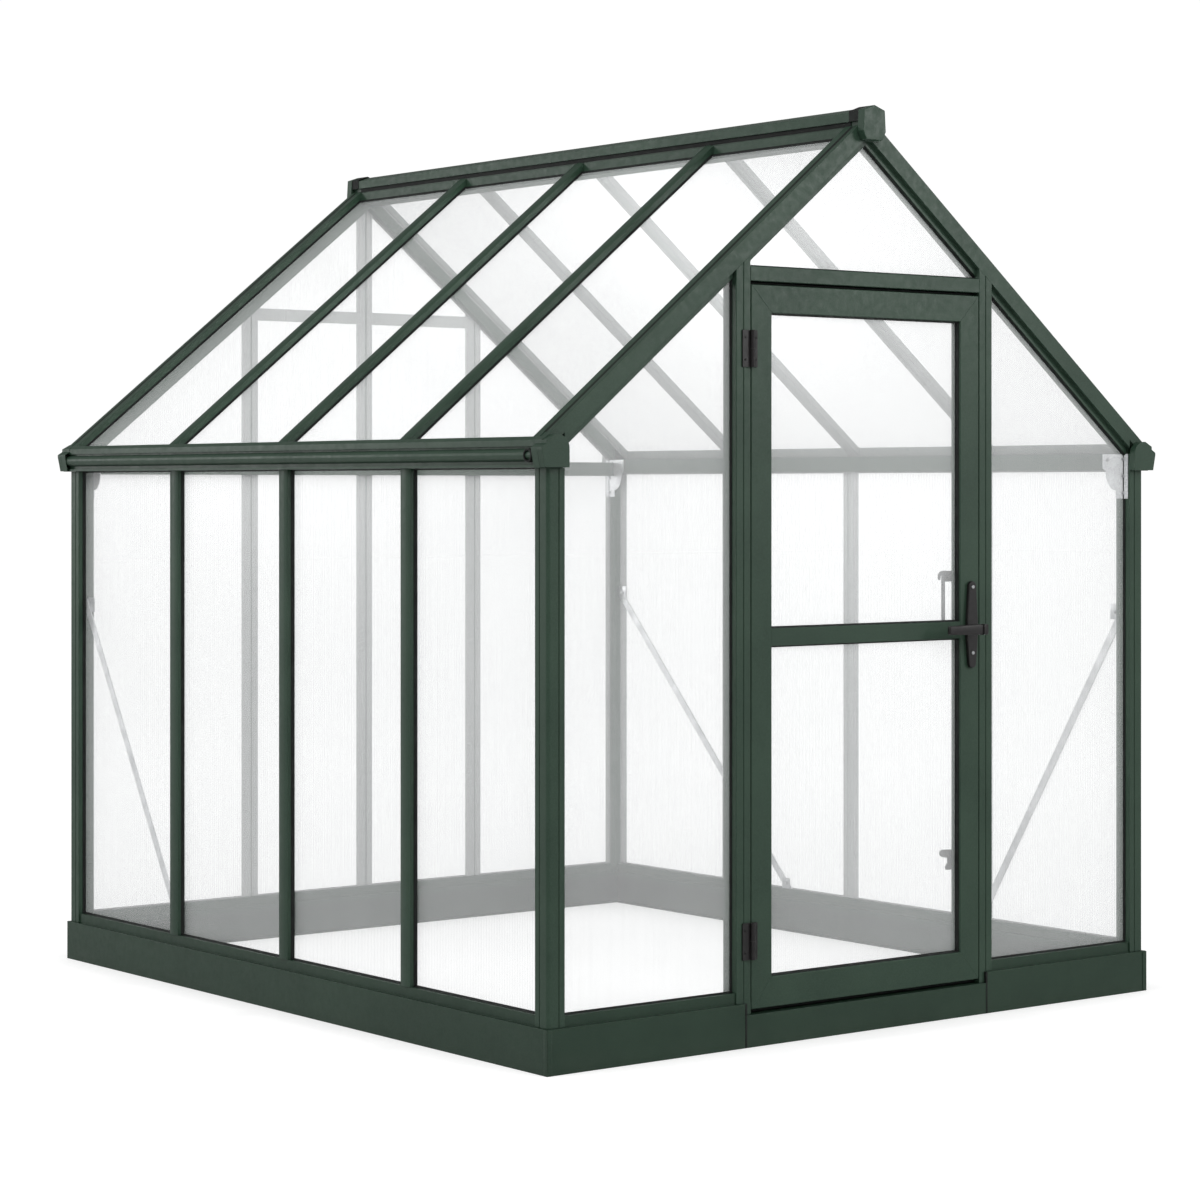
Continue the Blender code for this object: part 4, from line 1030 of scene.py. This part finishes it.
# Studio: a white floor that keeps a faint shadow, a white world and soft lamps


def ray_strength(tree, seen, glossy, lighting):
    """One strength for the rays that see the surround, one for reflections, one for the light."""
    path = add(tree, "LightPath").outputs
    direct = sums(tree, "MAXIMUM", path["Is Camera Ray"], path["Is Transmission Ray"])
    extra = sums(tree, "MULTIPLY", direct, seen - lighting)
    change = sums(tree, "MULTIPLY", path["Is Glossy Ray"], glossy - lighting)
    return sums(tree, "ADD", sums(tree, "ADD", extra, change), lighting)


def build_floor():
    """The glow that only seeing rays get grows away from the object, so no horizon shows, and is
    lowered under the greenhouse as painted shade on the floor inside it.

    The distances are in metres from the object's middle."""
    bm = bmesh.new()
    bmesh.ops.create_grid(bm, x_segments=8, y_segments=8, size=40.0)
    mesh = bpy.data.meshes.new("studio_floor")
    bm.to_mesh(mesh)
    bm.free()
    floor = bpy.data.objects.new("studio_floor", mesh)
    floor.location.z = -0.0005
    bpy.context.scene.collection.objects.link(floor)
    material, tree, shader = new_material("studio_floor_white")
    shader.inputs["Base Color"].default_value = (0.60, 0.60, 0.60, 1.0)
    shader.inputs["Roughness"].default_value = 0.9
    shader.inputs["Specular IOR Level"].default_value = 0.1
    shader.inputs["Emission Color"].default_value = (1.0, 1.0, 1.0, 1.0)
    away = tree.nodes.new("ShaderNodeVectorMath")
    away.operation = "LENGTH"
    tree.links.new(add(tree, "TexCoord").outputs["Object"], away.inputs[0])
    # Painted shade: less glow near the middle darkens the floor inside the greenhouse.
    painted_shade_inside = spread(tree, away.outputs["Value"], 0.7, 1.5, -0.12, 0.0)
    far = spread(tree, away.outputs["Value"], 1.6, 6.0, 0.50, 0.63)
    glow = sums(tree, "ADD", painted_shade_inside, far)
    tree.links.new(
        sums(tree, "MULTIPLY", ray_strength(tree, seen=1.0, glossy=0.12, lighting=0.0), glow),
        shader.inputs["Emission Strength"],
    )
    mesh.materials.append(material)


def build_world():
    world = bpy.data.worlds.new("studio_white")
    bpy.context.scene.world = world
    world.use_nodes = True
    tree = world.node_tree
    background = tree.nodes["Background"]
    background.inputs["Color"].default_value = (1.0, 1.0, 1.0, 1.0)
    strength = ray_strength(tree, seen=1.02, glossy=0.30, lighting=0.66)
    tree.links.new(strength, background.inputs["Strength"])


def lamp_inside():
    """A round lamp under the ridge that stands for the light which the sheets scatter inward."""
    data = bpy.data.lights.new("scattered_light_inside", "POINT")
    data.shadow_soft_size = 0.25
    data.energy = 15.0
    data.specular_factor = 0.0
    lamp = bpy.data.objects.new("scattered_light_inside", data)
    lamp.location = (-0.1, -0.1, 1.45)
    lamp.visible_camera = False
    lamp.visible_glossy = False
    bpy.context.scene.collection.objects.link(lamp)


# Name, place, aim, width and height in metres, watts
LAMPS = (
    ("key_from_the_left", (-6.5, -0.5, 5.6), (0, 0, 1.2), (4.0, 4.0), 230.0),
    ("softbox_over_the_front", (-0.5, -5.5, 4.6), (0, 0, 1.4), (3.0, 2.0), 110.0),
    ("fill_from_the_right", (4.8, -6.6, 3.1), (0.0, -1.0, 1.3), (1.8, 1.8), 150.0),
    ("rim_from_the_back_left", (-4.6, 6.4, 2.4), (-0.9, 0.4, 1.2), (1.2, 2.4), 90.0),
)


def soft_lamp(name, at, aim, size, power):
    data = bpy.data.lights.new(name, "AREA")
    data.shape = "RECTANGLE"
    data.size = size[0]
    data.size_y = size[1]
    data.energy = power
    lamp = bpy.data.objects.new(name, data)
    lamp.location = at
    lamp.rotation_euler = (Vector(aim) - Vector(at)).to_track_quat("-Z", "Y").to_euler()
    bpy.context.scene.collection.objects.link(lamp)


def build_camera():
    """The photo's view: a level camera, with the frame shifted down."""
    data = bpy.data.cameras.new("photo_camera")
    data.sensor_width = 36.0
    data.lens = 93.63
    data.shift_x = 0.0
    data.shift_y = -0.0936
    data.clip_end = 200.0
    camera = bpy.data.objects.new("photo_camera", data)
    camera.location = (-4.875, -6.2995, 1.242)
    camera.rotation_euler = (math.radians(90), 0.0, math.radians(-37.88))
    bpy.context.scene.collection.objects.link(camera)
    bpy.context.scene.camera = camera


build_floor()
build_world()
for lamp_settings in LAMPS:
    soft_lamp(*lamp_settings)
lamp_inside()
build_camera()
bpy.context.scene.view_settings.view_transform = "Standard"
